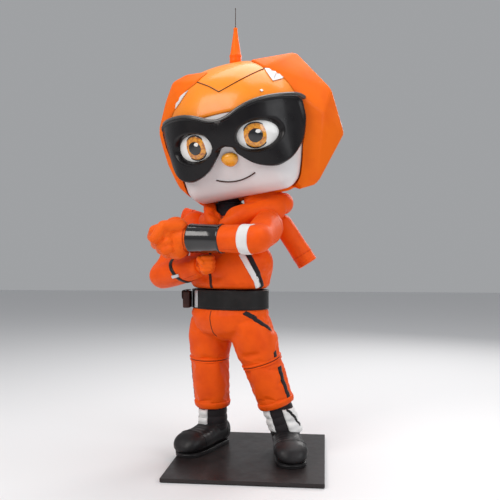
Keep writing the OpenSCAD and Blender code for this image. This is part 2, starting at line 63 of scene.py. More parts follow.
TRUNK_YAW = math.radians(-30)
TRUNK = Matrix.Translation((-0.100, 0.045, 0)) @ Matrix.Rotation(TRUNK_YAW, 4, "Z")
HEAD = (
    Matrix.Translation((-0.052, 0.005, 1.424))
    @ Euler([math.radians(a) for a in (0, -9, -11)]).to_matrix().to_4x4()
    @ Matrix.Rotation(math.radians(12), 4, "X")
)
PLATE_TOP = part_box("base_plate")[1].z
FLATNESS = 0.70

FEET = {"left": Vector((0.182, 0.044, PLATE_TOP)), "right": Vector((-0.190, 0.132, PLATE_TOP))}
SIDES = {"left": 1, "right": -1}
FOOT_YAW = {"left": 10, "right": -25}
HIP_HALF = 0.100
HIP_Z, KNEE_Z, ANKLE_Z = 0.600, 0.422, 0.110
HEM_Z = {"left": 0.230, "right": 0.200}


def hip(side):
    return TRUNK @ Vector((SIDES[side] * HIP_HALF, 0, HIP_Z))


def leg_at(side, z):
    """The leg's line; the right leg bows a little outwards at its knee."""
    foot = FEET[side]
    bow = -0.014 * math.exp(-(((z - 0.42) / 0.09) ** 2)) if side == "right" else 0.0
    return foot + (hip(side) - foot) * (z - foot.z) / (HIP_Z - foot.z) + Vector((bow, 0, 0))


def smooth(x):
    x = np.clip(x, 0, 1)
    return x * x * (3 - 2 * x)


# ---------------------------------------------------------------- materials


class Nodes:
    """A procedural material: a Principled shader, and short calls that add nodes before it."""

    def __init__(self, name, colour, roughness, **values):
        self.material = bpy.data.materials.new(name)
        self.material.use_nodes = True
        self.tree = self.material.node_tree
        self.shader = self.tree.nodes["Principled BSDF"]
        self.shader.inputs["Base Color"].default_value = (*colour, 1)
        self.shader.inputs["Roughness"].default_value = roughness
        for key, value in values.items():
            self.shader.inputs[key.replace("_", " ")].default_value = value
        self.colour = colour
        self.coords = self.tree.nodes.new("ShaderNodeTexCoord").outputs["Object"]
        self.bumped = None

    def link(self, output, socket):
        self.tree.links.new(output, socket)

    def stretched(self, scale):
        node = self.tree.nodes.new("ShaderNodeMapping")
        node.inputs["Scale"].default_value = scale
        self.link(self.coords, node.inputs["Vector"])
        return node.outputs["Vector"]

    def noise(self, scale, detail=4, stretch=(1, 1, 1)):
        node = self.tree.nodes.new("ShaderNodeTexNoise")
        node.inputs["Scale"].default_value = scale
        node.inputs["Detail"].default_value = detail
        self.link(self.stretched(stretch), node.inputs["Vector"])
        return node.outputs["Fac"]

    def cells(self, scale, stretch=(1, 1, 1)):
        node = self.tree.nodes.new("ShaderNodeTexVoronoi")
        node.inputs["Scale"].default_value = scale
        self.link(self.stretched(stretch), node.inputs["Vector"])
        return node.outputs["Distance"]

    def waves(self, scale, direction):
        node = self.tree.nodes.new("ShaderNodeTexWave")
        node.bands_direction = direction
        node.inputs["Scale"].default_value = scale
        node.inputs["Distortion"].default_value = 0.4
        self.link(self.coords, node.inputs["Vector"])
        return node.outputs["Fac"]

    def ranged(self, value, low, high, start=0.3, end=0.7):
        node = self.tree.nodes.new("ShaderNodeMapRange")
        for key, number in (("From Min", start), ("From Max", end), ("To Min", low), ("To Max", high)):
            node.inputs[key].default_value = number
        self.link(value, node.inputs["Value"])
        return node.outputs["Result"]

    def vary(self, value, other, start=0.35, end=0.75):
        """The base colour goes from the material's own to other as value rises."""
        node = self.tree.nodes.new("ShaderNodeMix")
        node.data_type = "RGBA"
        node.inputs[6].default_value = (*self.colour, 1)
        node.inputs[7].default_value = (*other, 1)
        self.link(self.ranged(value, 0, 1, start, end), node.inputs[0])
        self.link(node.outputs[2], self.shader.inputs["Base Color"])

    def rough(self, value, low, high):
        self.link(self.ranged(value, low, high), self.shader.inputs["Roughness"])

    def bump(self, value, strength, distance):
        node = self.tree.nodes.new("ShaderNodeBump")
        node.inputs["Strength"].default_value = strength
        node.inputs["Distance"].default_value = distance
        self.link(value, node.inputs["Height"])
        if self.bumped:
            self.link(self.bumped, node.inputs["Normal"])
        self.bumped = node.outputs["Normal"]
        self.link(self.bumped, self.shader.inputs["Normal"])


def cloth_material(name, colour, deep, roughness=0.48, sheen=0.05, weave=620):
    """Stretch cloth with a slight satin face: a fine weave, soft mottling and a little sheen."""
    m = Nodes(name, colour, roughness, Sheen_Weight=sheen, Sheen_Roughness=0.4, Specular_IOR_Level=0.18)
    m.vary(m.noise(14, 3), deep, 0.42, 0.85)
    m.rough(m.noise(60, 3), roughness - 0.06, roughness + 0.08)
    m.bump(m.waves(weave, "X"), 0.10, 0.0004)
    m.bump(m.waves(weave, "Z"), 0.10, 0.0004)
    m.bump(m.noise(38, 5), 0.16, 0.003)
    return m.material


def shell_material(name, colour, deep, roughness, coat=0.3, grain=420, specular=0.3):
    """Painted or moulded shell: very slight orange peel, faint handling marks, clear coat."""
    m = Nodes(name, colour, roughness, Coat_Weight=coat, Coat_Roughness=0.12, Specular_IOR_Level=specular)
    m.vary(m.noise(9, 3), deep, 0.45, 0.9)
    m.rough(m.noise(24, 6), roughness - 0.05, roughness + 0.09)
    m.bump(m.noise(grain, 2), 0.05, 0.0004)
    return m.material


def rubber_material(name, colour, deep, roughness):
    m = Nodes(name, colour, roughness, Specular_IOR_Level=0.28)
    m.vary(m.noise(22, 6), deep, 0.45, 0.8)
    m.rough(m.noise(46, 6), roughness - 0.08, roughness + 0.1)
    m.bump(m.cells(900), 0.12, 0.0004)
    return m.material


def metal_material(name, colour, roughness, metallic=1.0):
    m = Nodes(name, colour, roughness, Metallic=metallic)
    m.rough(m.noise(90, 4, (1, 1, 12)), roughness - 0.08, roughness + 0.12)
    m.bump(m.noise(700, 2, (1, 1, 8)), 0.04, 0.0003)
    return m.material


ORANGE = cloth_material("suit_orange", (0.88, 0.098, 0.001), (0.72, 0.062, 0.001), 0.52, 0.02)
# darker orange: the seams' and stitches' own colour, and also painted shade in the open ends of the sleeve
# tails
ORANGE_SEAM_AND_SHADE = cloth_material("seam_and_shade_orange", (0.70, 0.07, 0.002), (0.55, 0.05, 0.001), 0.6)
GLOVE = cloth_material("glove_orange", (0.90, 0.125, 0.003), (0.76, 0.085, 0.002), 0.5)
TRIM_BLACK = cloth_material("trim_black", (0.016, 0.013, 0.015), (0.03, 0.025, 0.028), 0.62, 0.2)
KNIT_BLACK = cloth_material("knit_black", (0.014, 0.013, 0.018), (0.028, 0.026, 0.032), 0.72, 0.3, 380)
WHITE_CLOTH = cloth_material("white_cloth", (0.80, 0.79, 0.78), (0.66, 0.65, 0.64), 0.55, 0.15)
HEAD_ORANGE = shell_material("head_orange", (0.90, 0.150, 0.001), (0.80, 0.100, 0.001), 0.45, 0.03,
                             specular=0.16)
DOME_ORANGE = shell_material("dome_orange", (0.94, 0.27, 0.012), (0.90, 0.22, 0.008), 0.33)
FACE_WHITE = shell_material("face_white", (0.74, 0.71, 0.71), (0.67, 0.64, 0.64), 0.34)
MASK_BLACK = shell_material("mask_black", (0.006, 0.005, 0.006), (0.012, 0.010, 0.010), 0.30, 0.08,
                            specular=0.22)
# lighter grey than the black mask: a painted highlight that stands for light from above reflected on the
# mask's top bevel
MASK_RIM_HIGHLIGHT = shell_material("mask_rim_painted_highlight", (0.060, 0.056, 0.055), (0.085, 0.078, 0.076), 0.30, 0.5)
CUFF_BLACK = shell_material("cuff_black", (0.008, 0.007, 0.008), (0.016, 0.014, 0.015), 0.13, 0.9)
EYE_WHITE = shell_material("eye_white", (0.86, 0.85, 0.83), (0.80, 0.78, 0.76), 0.15, 0.8)
NOSE_GOLD = shell_material("nose_gold", (0.90, 0.38, 0.03), (0.80, 0.30, 0.02), 0.25, 0.6)
PUPIL = shell_material("pupil_black", (0.006, 0.006, 0.008), (0.01, 0.01, 0.012), 0.08, 1.0)
# dark lines, such as the mouth and the dome lines; also painted shade in the knee grooves
LINE_DARK = shell_material("line_dark", (0.05, 0.012, 0.006), (0.03, 0.008, 0.004), 0.5, 0)
BOOT = rubber_material("boot_black", (0.013, 0.012, 0.013), (0.026, 0.023, 0.024), 0.42)
SOLE = rubber_material("sole_black", (0.010, 0.009, 0.010), (0.022, 0.020, 0.020), 0.62)
MAT = rubber_material("mat_rubber", (0.012, 0.012, 0.012), (0.02, 0.02, 0.02), 0.75)
PLATE = shell_material("base_black", (0.020, 0.015, 0.015), (0.034, 0.026, 0.025), 0.36, 0.1, 260)
BELT = rubber_material("belt_black", (0.007, 0.006, 0.006), (0.016, 0.013, 0.013), 0.42)
POUCH = rubber_material("pouch_brown", (0.030, 0.010, 0.008), (0.055, 0.020, 0.014), 0.48)
STEEL = metal_material("bright_steel", (0.62, 0.62, 0.63), 0.40, 0.45)
FRAME_PAINT = metal_material("frame_paint", (0.10, 0.10, 0.105), 0.55, 0.3)
AERIAL = metal_material("aerial_dark", (0.07, 0.045, 0.035), 0.4, 0.7)


def iris_material():
    """Amber iris with fine darker mottling."""
    m = Nodes("iris_amber", (0.88, 0.36, 0.02), 0.12, Coat_Weight=1.0, Coat_Roughness=0.04)
    m.vary(m.noise(85, 6), (0.45, 0.12, 0.01), 0.40, 0.66)
    return m.material


IRIS = iris_material()

# ---------------------------------------------------------------- mesh helpers


def mesh_object(name, points, faces, material, flat=False):
    mesh = bpy.data.meshes.new(name)
    mesh.from_pydata([tuple(p) for p in points], [], [tuple(f) for f in faces])
    mesh.materials.append(material)
    obj = bpy.data.objects.new(name, mesh)
    bpy.context.scene.collection.objects.link(obj)
    fix_normals(obj)
    if not flat:
        mesh.shade_smooth()
    return obj


def fix_normals(obj):
    bm = bmesh.new()
    bm.from_mesh(obj.data)
    bmesh.ops.remove_doubles(bm, verts=bm.verts, dist=1e-6)
    bmesh.ops.recalc_face_normals(bm, faces=bm.faces)
    bm.to_mesh(obj.data)
    bm.free()


def belongs(obj, body, replaces=()):
    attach(obj, body)
    finish_piece(replaces)
    return obj


def finish_piece(replaces=()):
    if replaces:
        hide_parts(*replaces)


def grid_faces(rows, columns, closed=True):
    wrap = columns if closed else columns - 1
    return [
        (r * columns + c, r * columns + (c + 1) % columns,
         (r + 1) * columns + (c + 1) % columns, (r + 1) * columns + c)
        for r in range(rows - 1) for c in range(wrap)
    ]


def loft(name, rings, material, caps=True, closed=True):
    """A skin over rings, an array of rows by columns by 3. Caps close its ends with a fan."""
    rings = np.asarray(rings, float)
    rows, columns = rings.shape[:2]
    points = list(rings.reshape(-1, 3))
    faces = grid_faces(rows, columns, closed)
    if caps:
        for row in (0, rows - 1):
            points.append(rings[row].mean(0))
            faces += [(len(points) - 1, row * columns + c, row * columns + (c + 1) % columns)
                      for c in range(columns)]
    return mesh_object(name, points, faces, material)


def sheet_strip(name, outer, inner, material):
    """A closed strip between two grids of the same size, the outer and the inner face of a band."""
    outer, inner = np.asarray(outer, float), np.asarray(inner, float)
    rows, columns = outer.shape[:2]
    count = rows * columns
    points = list(outer.reshape(-1, 3)) + list(inner.reshape(-1, 3))
    faces = grid_faces(rows, columns, False)
    faces += [tuple(count + i for i in reversed(f)) for f in grid_faces(rows, columns, False)]
    edge = ([r * columns for r in range(rows)]
            + [(rows - 1) * columns + c for c in range(1, columns)]
            + [r * columns + columns - 1 for r in range(rows - 2, -1, -1)]
            + [c for c in range(columns - 2, 0, -1)])
    for i, a in enumerate(edge):
        b = edge[(i + 1) % len(edge)]
        faces.append((a, b, count + b, count + a))
    return mesh_object(name, points, faces, material)


def basis(a, b, towards=Vector((0, 0, 1))):
    """Right-handed axes (side, up, along) for a limb from a to b."""
    along = (Vector(b) - Vector(a)).normalized()
    side = towards.cross(along)
    side = side.normalized() if side.length > 1e-3 else Vector((1, 0, 0))
    return side, along.cross(side), along


def tube_grid(a, b, profile, columns, towards=Vector((0, 0, 1)), start=0.0):
    """Rings round the line from a to b. profile is a list of (metres along, radius) or
    (metres along, side radius, up radius)."""
    side, up, along = (np.array(v) for v in basis(a, b, towards))
    angles = start + np.linspace(0, 2 * math.pi, columns, endpoint=False)
    rings = []
    for row in profile:
        s, r1, r2 = (*row, row[1])[:3]
        centre = np.array(a) + along * s
        rings.append(centre + r1 * np.outer(np.cos(angles), side) + r2 * np.outer(np.sin(angles), up))
    return np.array(rings)


def spline(keys, count):
    """Catmull-Rom through keys (rows of numbers), count points."""
    keys = np.asarray(keys, float)
    padded = np.vstack([2 * keys[0] - keys[1], keys, 2 * keys[-1] - keys[-2]])
    at = np.linspace(0, len(keys) - 1, count)
    i = np.minimum(at.astype(int), len(keys) - 2)
    t = (at - i)[:, None]
    p0, p1, p2, p3 = (padded[i + k] for k in range(4))
    return 0.5 * (2 * p1 + (p2 - p0) * t + (2 * p0 - 5 * p1 + 4 * p2 - p3) * t**2
                  + (3 * p1 - p0 - 3 * p2 + p3) * t**3)


def closed_spline(keys, count):
    keys = np.asarray(keys, float)
    n = len(keys)
    at = np.linspace(0, n, count, endpoint=False)
    i = at.astype(int)
    t = (at - i)[:, None]
    p0, p1, p2, p3 = (keys[(i + k) % n] for k in (-1, 0, 1, 2))
    return 0.5 * (2 * p1 + (p2 - p0) * t + (2 * p0 - 5 * p1 + 4 * p2 - p3) * t**2
                  + (3 * p1 - p0 - 3 * p2 + p3) * t**3)


def cord_mesh(name, path, radius, material, columns=10, closed=False, flat=1.0):
    """A round bead along a path of points, such as a seam's piping or a drawn line."""
    path = np.asarray(path, float)
    tangents = (np.roll(path, -1, 0) - np.roll(path, 1, 0)) if closed else np.gradient(path, axis=0)
    tangents /= np.linalg.norm(tangents, axis=1)[:, None] + 1e-12
    normal = np.cross(tangents[0], [0.3, 0.2, 1.0])
    rings = []
    angles = np.linspace(0, 2 * math.pi, columns, endpoint=False)
    for p, t in zip(path, tangents):
        normal = normal - t * normal.dot(t)
        normal /= np.linalg.norm(normal)
        other = np.cross(t, normal)
        rings.append(p + radius * (np.outer(np.cos(angles), normal) + flat * np.outer(np.sin(angles),
                                                                                      other)))
    rings = np.array(rings)
    if closed:
        rings = np.concatenate([rings, rings[:1]])
        return loft(name, rings, material, caps=False)
    return loft(name, rings, material)


def with_modifiers(obj):
    """Applies obj's modifiers to its mesh."""
    graph = bpy.context.evaluated_depsgraph_get()
    mesh = bpy.data.meshes.new_from_object(obj.evaluated_get(graph))
    obj.modifiers.clear()
    old = obj.data
    obj.data = mesh
    bpy.data.meshes.remove(old)
    return obj


def modify(obj, kind, **settings):
    m = obj.modifiers.new(kind.title(), kind)
    for key, value in settings.items():
        setattr(m, key, value)
    return m


def fuse(name, objects, voxel, material, smoothing=4):
    """One closed skin round overlapping closed meshes."""
    for obj in objects[1:]:
        bm = bmesh.new()
        bm.from_mesh(objects[0].data)
        bm.from_mesh(obj.data)
        bm.to_mesh(objects[0].data)
        bm.free()
        bpy.data.objects.remove(obj)
    whole = objects[0]
    whole.name = name
    modify(whole, "REMESH", mode="VOXEL", voxel_size=voxel)
    if smoothing:
        modify(whole, "SMOOTH", factor=0.5, iterations=smoothing)
    with_modifiers(whole)
    whole.data.materials.clear()
    whole.data.materials.append(material)
    whole.data.shade_smooth()
    return whole


def coordinates(obj):
    co = np.zeros(len(obj.data.vertices) * 3)
    obj.data.vertices.foreach_get("co", co)
    return co.reshape(-1, 3)


def set_coordinates(obj, co):
    obj.data.vertices.foreach_set("co", np.asarray(co, np.float32).ravel())
    obj.data.update()


# ---------------------------------------------------------------- cloth

CLOTH_FRAMES = 16
waiting = []


def puff(obj, hold, grow=0.05, pressure=2.0, cap=0.012, stiffness=12, bending=0.6):
    """Puts obj on the list for the cloth simulation. hold gives each point's grip, 0 to 1: seams grip."""
    group = obj.vertex_groups.new(name="hold")
    weights = np.clip(hold(coordinates(obj)), 0, 1)
    for i, w in enumerate(weights):
        if w > 0.001:
            group.add([i], float(w), "REPLACE")
    m = obj.modifiers.new("Cloth", "CLOTH")
    s = m.settings
    s.quality = 5
    s.mass = 0.25
    s.tension_stiffness = s.compression_stiffness = stiffness
    s.shear_stiffness = stiffness / 2
    s.bending_stiffness = bending
    s.use_pressure = True
    s.uniform_pressure_force = pressure
    s.shrink_min = -grow
    s.vertex_group_mass = "hold"
    s.pin_stiffness = 1.0
    s.effector_weights.gravity = 0
    m.collision_settings.use_collision = False
    m.point_cache.frame_end = CLOTH_FRAMES + 2
    waiting.append((obj, coordinates(obj), cap))
    return obj


def run_cloth():
    """Simulates all the waiting pieces at once, and keeps each point's travel under its cap."""
    scene = bpy.context.scene
    for step in range(1, CLOTH_FRAMES + 1):
        scene.frame_set(step)
    graph = bpy.context.evaluated_depsgraph_get()
    for obj, rest, cap in waiting:
        mesh = obj.evaluated_get(graph).to_mesh()
        moved = np.zeros(len(rest) * 3)
        mesh.vertices.foreach_get("co", moved)
        travel = moved.reshape(-1, 3) - rest
        far = np.linalg.norm(travel, axis=1, keepdims=True) + 1e-9
        set_coordinates(obj, rest + travel / far * cap * np.tanh(far / cap))
    for obj, rest, cap in waiting:
        obj.modifiers.clear()
        obj.vertex_groups.clear()
    waiting.clear()
    bpy.context.scene.frame_set(1)


def subdivide(obj, levels=1):
    modify(obj, "SUBSURF", levels=levels, render_levels=levels)
    with_modifiers(obj)
    obj.data.shade_smooth()
    return obj


def surface(obj):
    """A BVH of obj's mesh, to lay trims on."""
    bm = bmesh.new()
    bm.from_mesh(obj.data)
    tree = BVHTree.FromBMesh(bm)
    bm.free()
    return tree


def laid(tree, points, lift, reach=0.2):
    """The nearest points of a surface, lifted off along its normal."""
    out = []
    for p in points:
        at, normal, _, _ = tree.find_nearest(Vector(p), reach)
        at, normal = (at, normal) if at is not None else (Vector(p), Vector((0, 0, 1)))
        out.append(np.array(at + normal * lift))
    return np.array(out)


def cast(tree, origins, direction, lift):
    """Where rays meet a surface, lifted off along its normal."""
    out = []
    for p in origins:
        at, normal, _, _ = tree.ray_cast(Vector(p), Vector(direction))
        if at is None:
            at, normal, _, _ = tree.find_nearest(Vector(p) + Vector(direction) * 0.3)
        out.append(np.array(at + normal * lift))
    return np.array(out)


def ribbon(name, tree, path, width, across, material, lift=0.0008, thick=0.0016, columns=5):
    """Tape laid on a surface along path. across is the direction of its width."""
    path = np.asarray(path, float)
    tangent = np.gradient(path, axis=0)
    tangent /= np.linalg.norm(tangent, axis=1)[:, None]
    side = np.cross(tangent, across)
    side /= np.linalg.norm(side, axis=1)[:, None]
    offsets = np.linspace(-width / 2, width / 2, columns)
    flat = (path[:, None, :] + offsets[None, :, None] * side[:, None, :]).reshape(-1, 3)
    top = laid(tree, flat, lift + thick).reshape(len(path), columns, 3)
    under = laid(tree, flat, -0.001).reshape(len(path), columns, 3)
    return sheet_strip(name, top, under, material)


def stitches(name, tree, path, step, length, radius, material, lift=0.0004, closed=False):
    """A row of stitches along a path on a surface, as one piece."""
    path = np.asarray(path, float)
    if closed:
        path = np.vstack([path, path[:1]])
    along = np.concatenate([[0], np.cumsum(np.linalg.norm(np.diff(path, axis=0), axis=1))])
    count = max(2, int(along[-1] / step))
    points, faces = [], []
    angles = np.linspace(0, 2 * math.pi, 6, endpoint=False)
    for k in range(count):
        span = (np.array([0.0, 0.25, 0.5, 0.75, 1.0]) * length) + k * step
        line = np.stack([np.interp(span, along, path[:, i]) for i in range(3)], 1)
        line = laid(tree, line, lift)
        t = line[-1] - line[0]
        t /= np.linalg.norm(t) + 1e-9
        n = np.cross(t, [0.31, 0.27, 0.91])
        n /= np.linalg.norm(n) + 1e-9
        b = np.cross(t, n)
        base = len(points)
        for p, r in zip(line, (0.4, 1, 1.1, 1, 0.4)):
            points += list(p + radius * r * (np.outer(np.cos(angles), n) + np.outer(np.sin(angles), b)))
        faces += [tuple(base + i for i in f) for f in grid_faces(5, 6)]
        faces += [tuple(base + i for i in range(6)), tuple(base + 24 + i for i in range(6))]
    return mesh_object(name, points, faces, material)

# ---------------------------------------------------------------- base and boots


def rounded_plate(name, low, high, radius, material):
    """A flat plate with a small rounded edge all round."""
    bm = bmesh.new()
    bmesh.ops.create_cube(bm, size=1)
    low, high = Vector(low), Vector(high)
    for v in bm.verts:
        v.co = Vector([(high[i] - low[i]) * v.co[i] + (high[i] + low[i]) / 2 for i in range(3)])
    bmesh.ops.bevel(bm, geom=bm.edges[:], offset=radius, segments=3, profile=0.5, affect="EDGES")
    mesh = bpy.data.meshes.new(name)
    bm.to_mesh(mesh)
    bm.free()
    mesh.materials.append(material)
    obj = bpy.data.objects.new(name, mesh)
    bpy.context.scene.collection.objects.link(obj)
    return obj


def build_base():
    low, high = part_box("base_plate")
    plate = rounded_plate("plate", low, high, 0.002, PLATE)
    belongs(plate, "stand", ["base_plate"])


def superellipse(angles, power):
    c, s = np.cos(angles), np.sin(angles)
    return np.sign(c) * np.abs(c) ** (2 / power), np.sign(s) * np.abs(s) ** (2 / power)


# Boot stations from heel to toe: along, half width, top, underside's rise
BOOT_KEYS = [
    (0.091, 0.012, 0.062, 0.026), (0.086, 0.034, 0.094, 0.018), (0.070, 0.050, 0.112, 0.014),
    (0.035, 0.058, 0.122, 0.012), (-0.010, 0.060, 0.124, 0.012), (-0.055, 0.062, 0.116, 0.012),
    (-0.100, 0.067, 0.104, 0.012), (-0.145, 0.070, 0.100, 0.012), (-0.190, 0.069, 0.094, 0.013),
    (-0.222, 0.056, 0.078, 0.016), (-0.240, 0.034, 0.056, 0.022), (-0.247, 0.012, 0.040, 0.030),
]


def boot_rings(grow=0.0, low=None, rows=60, columns=56):
    keys = spline(BOOT_KEYS, rows)
    angles = np.linspace(-math.pi / 2, 1.5 * math.pi, columns, endpoint=False)
    rings = []
    for y, half, top, rise in keys:
        x, z = superellipse(angles, 2.35)
        mid = (top + rise) / 2
        ring = np.stack([x * (half + grow), np.full(columns, y), mid + z * ((top - rise) / 2 + grow)], 1)
        if low is not None:
            ring[:, 2] = np.maximum(ring[:, 2], low)
        rings.append(ring)
    return np.array(rings)


def boot_outline(grow, count=96):
    """The sole's outline: wide round toe, narrower round heel."""
    keys = [(y, half) for y, half, _, _ in BOOT_KEYS]
    line = spline(keys, count // 2)
    line[:, 1] = np.maximum(line[:, 1], 0)
    right = np.stack([line[:, 1] + grow, line[:, 0]], 1)
    left = right[::-1] * [-1, 1]
    whole = np.vstack([right, left])
    whole[:, 1] *= 1 + grow / 0.17
    return closed_spline(whole[::2], count)


def at_foot(side):
    ankle = leg_at(side, ANKLE_Z)
    return (Matrix.Translation((ankle.x, ankle.y, PLATE_TOP))
            @ Matrix.Rotation(math.radians(FOOT_YAW[side]), 4, "Z"))


def moved(points, matrix):
    points = np.asarray(points, float)
    m = np.array(matrix)
    return points @ m[:3, :3].T + m[:3, 3]


def sole_rings(outline):
    """The sole's edge, from its underside up: rounded, grooved, and a welt on top."""
    shape = [(-0.004, 0.0), (-0.0008, 0.0008), (0.0, 0.0035), (-0.0014, 0.0052), (0.0, 0.0068),
             (0.0006, 0.010),
             (-0.0002, 0.0128), (-0.002, 0.0138), (0.0002, 0.0150), (0.0016, 0.0166), (0.0006, 0.0182),
             (-0.006, 0.0188)]
    rings = []
    centre = outline.mean(0)
    for out, z in shape:
        ring = outline + (outline - centre) / np.linalg.norm(outline - centre, axis=1)[:, None] * out
        rings.append(np.column_stack([ring, np.full(len(ring), z)]))
    return np.array(rings)


def build_boot(side):
    place = at_foot(side)
    outline = boot_outline(-0.006)
    sole = loft(f"sole_{side}_grooved", moved(sole_rings(outline), place), BOOT)
    belongs(sole, "stand", [f"sole_{side}"])
    rings = boot_rings(low=0.0155)
    # the vamp dips behind the toe cap, and the cap has a raised edge
    y = rings[:, :, 1]
    rise = 0.0022 * np.exp(-((y + 0.158) / 0.010) ** 2) - 0.0020 * np.exp(-((y + 0.140) / 0.006) ** 2)
    crease = -0.0035 * sum(np.exp(-((y - at) / 0.008) ** 2) for at in (-0.112, -0.088, -0.066))
    top = smooth((rings[:, :, 2] - 0.05) / 0.04)
    rings[:, :, 2] += (rise + crease) * top
    upper = loft(f"boot_{side}", moved(rings, place), BOOT)
    subdivide(upper)
    belongs(upper, "stand", [f"shoe_{side}"])
    tree = surface(upper)
    # toe cap and heel seams, as beads
    for name, y_at, bow in (("toe", -0.150, -0.018), ("heel", 0.030, 0.012)):
        a = np.linspace(-1, 1, 60)
        line = np.stack([0.066 * np.sin(a * 1.5), y_at + bow * np.cos(a * 1.5),
                         0.026 + 0.10 * np.cos(a * 1.45)], 1)
        path = laid(tree, moved(line, place), 0)
        bead = cord_mesh(f"boot_{name}_seam_{side}", path, 0.0014, SOLE, 8)
        belongs(bead, "stand")
    return tree


def build_shaft(side):
    """The padded boot leg: three soft rolls, with a strap across the front."""
    a, b = leg_at(side, 0.096), leg_at(side, HEM_Z[side] + 0.022)
    length = (b - a).length
    rows = 54
    profile = []
    for s in np.linspace(0, 1, rows):
        roll = 0.0035 * abs(math.sin(math.pi * length / 0.034 * s)) ** 0.7
        profile.append((s * length, 0.064 - 0.004 * s + roll))
    rings = tube_grid(a, b, profile, 72)
    shaft = loft(f"boot_leg_{side}", rings, TRIM_BLACK)
    subdivide(shaft)
    belongs(shaft, "stand", [f"boot_shaft_{side}"])
    tree = surface(shaft)
    ankle = leg_at(side, 0.128)
    ring = tube_grid(ankle, ankle + (b - a) * 0.02, [(0, 0.069)], 64)[0]
    front = np.vstack([ring, ring[:1]])
    strap = ribbon(f"ankle_strap_{side}", tree, front, 0.018, (b - a).normalized(), BELT, 0.0006, 0.0022)
    belongs(strap, "stand")
    return tree


def quilted_panel(name, tree, side, angle, width, low, high):
    """A white pad in two quilted cushions, one above the other, laid on the boot leg."""
    rows, columns = 40, 26
    centre = np.array([leg_at(side, z) for z in np.linspace(low, high, rows)])
    turn = math.radians(FOOT_YAW[side] + angle)
    flat = []
    for r in range(rows):
        for c in range(columns):
            t = turn + (c / (columns - 1) - 0.5) * width / 0.068
            flat.append(centre[r] + 0.075 * np.array([math.sin(t), -math.cos(t), 0]))
    u = np.linspace(0, 1, columns)
    v = np.linspace(0, 1, rows)
    edge = np.minimum(u, 1 - u)[None, :] * 2
    band = np.abs(np.sin(math.pi * 2 * v))[:, None]
    swell = 0.0075 * (1 - (1 - np.clip(edge * 2.2, 0, 1)) ** 2) ** 0.5 * band ** 0.45
    top = laid(tree, flat, 0.0).reshape(rows, columns, 3)
    under = laid(tree, flat, -0.001).reshape(rows, columns, 3)
    outward = top - centre[:, None, :]
    outward /= np.linalg.norm(outward, axis=2)[:, :, None]
    obj = sheet_strip(name, top + outward * (0.0012 + swell)[:, :, None], under, WHITE_CLOTH)
    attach(obj, "stand")
    return obj


def build_boots():
    for side in FEET:
        build_boot(side)
        tree = build_shaft(side)
        panels = {"right": [(-12, 0.056)], "left": [(52, 0.098), (-62, 0.046)]}[side]
        for k, (angle, width) in enumerate(panels):
            pad = quilted_panel(f"quilt_{side}_{k + 1}", tree, side, angle, width, 0.118,
                                HEM_Z[side] - 0.006)
            if (side, k) == ("right", 0):
                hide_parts("boot_panels")
            if (side, k) == ("left", 0):
                pad_tree = surface(pad)
                turns = np.radians(FOOT_YAW[side] + np.linspace(28, 66, 40))
                heights = np.linspace(HEM_Z[side] + 0.004, 0.150, 40)
                path = [leg_at(side, z) + 0.085 * Vector((math.sin(t), -math.cos(t), 0)) for t,
                        z in zip(turns, heights)]
                line = ribbon("boot_slant_strap", pad_tree, laid(pad_tree, path, 0), 0.011,
                              np.array((math.sin(turns[20]), -math.cos(turns[20]), 0)), BELT)
                belongs(line, "stand")


# ---------------------------------------------------------------- trousers


def ellipse_loft(name, keys, columns, material, rows=None):
    """A trunk-shaped solid in the trunk's frame. keys: (half width, height) or with (depth share)."""
    keys = np.array([(*k, FLATNESS)[:3] for k in keys], float)
    line = spline(keys, rows) if rows else keys
    angles = np.linspace(0, 2 * math.pi, columns, endpoint=False)
    rings = [np.stack([r * np.cos(angles), r * f * np.sin(angles), np.full(columns, z)], 1) for r, z,
             f in line]
    return loft(name, moved(np.array(rings), TRUNK), material)


def leg_angle(side, points):
    """Angle round the leg's line, from the trunk's front, for points on a leg."""
    points = np.asarray(points)
    z = points[:, 2]
    axis = np.array([leg_at(side, h) for h in z])
    d = points - axis
    return np.arctan2(d[:, 0], -d[:, 1])


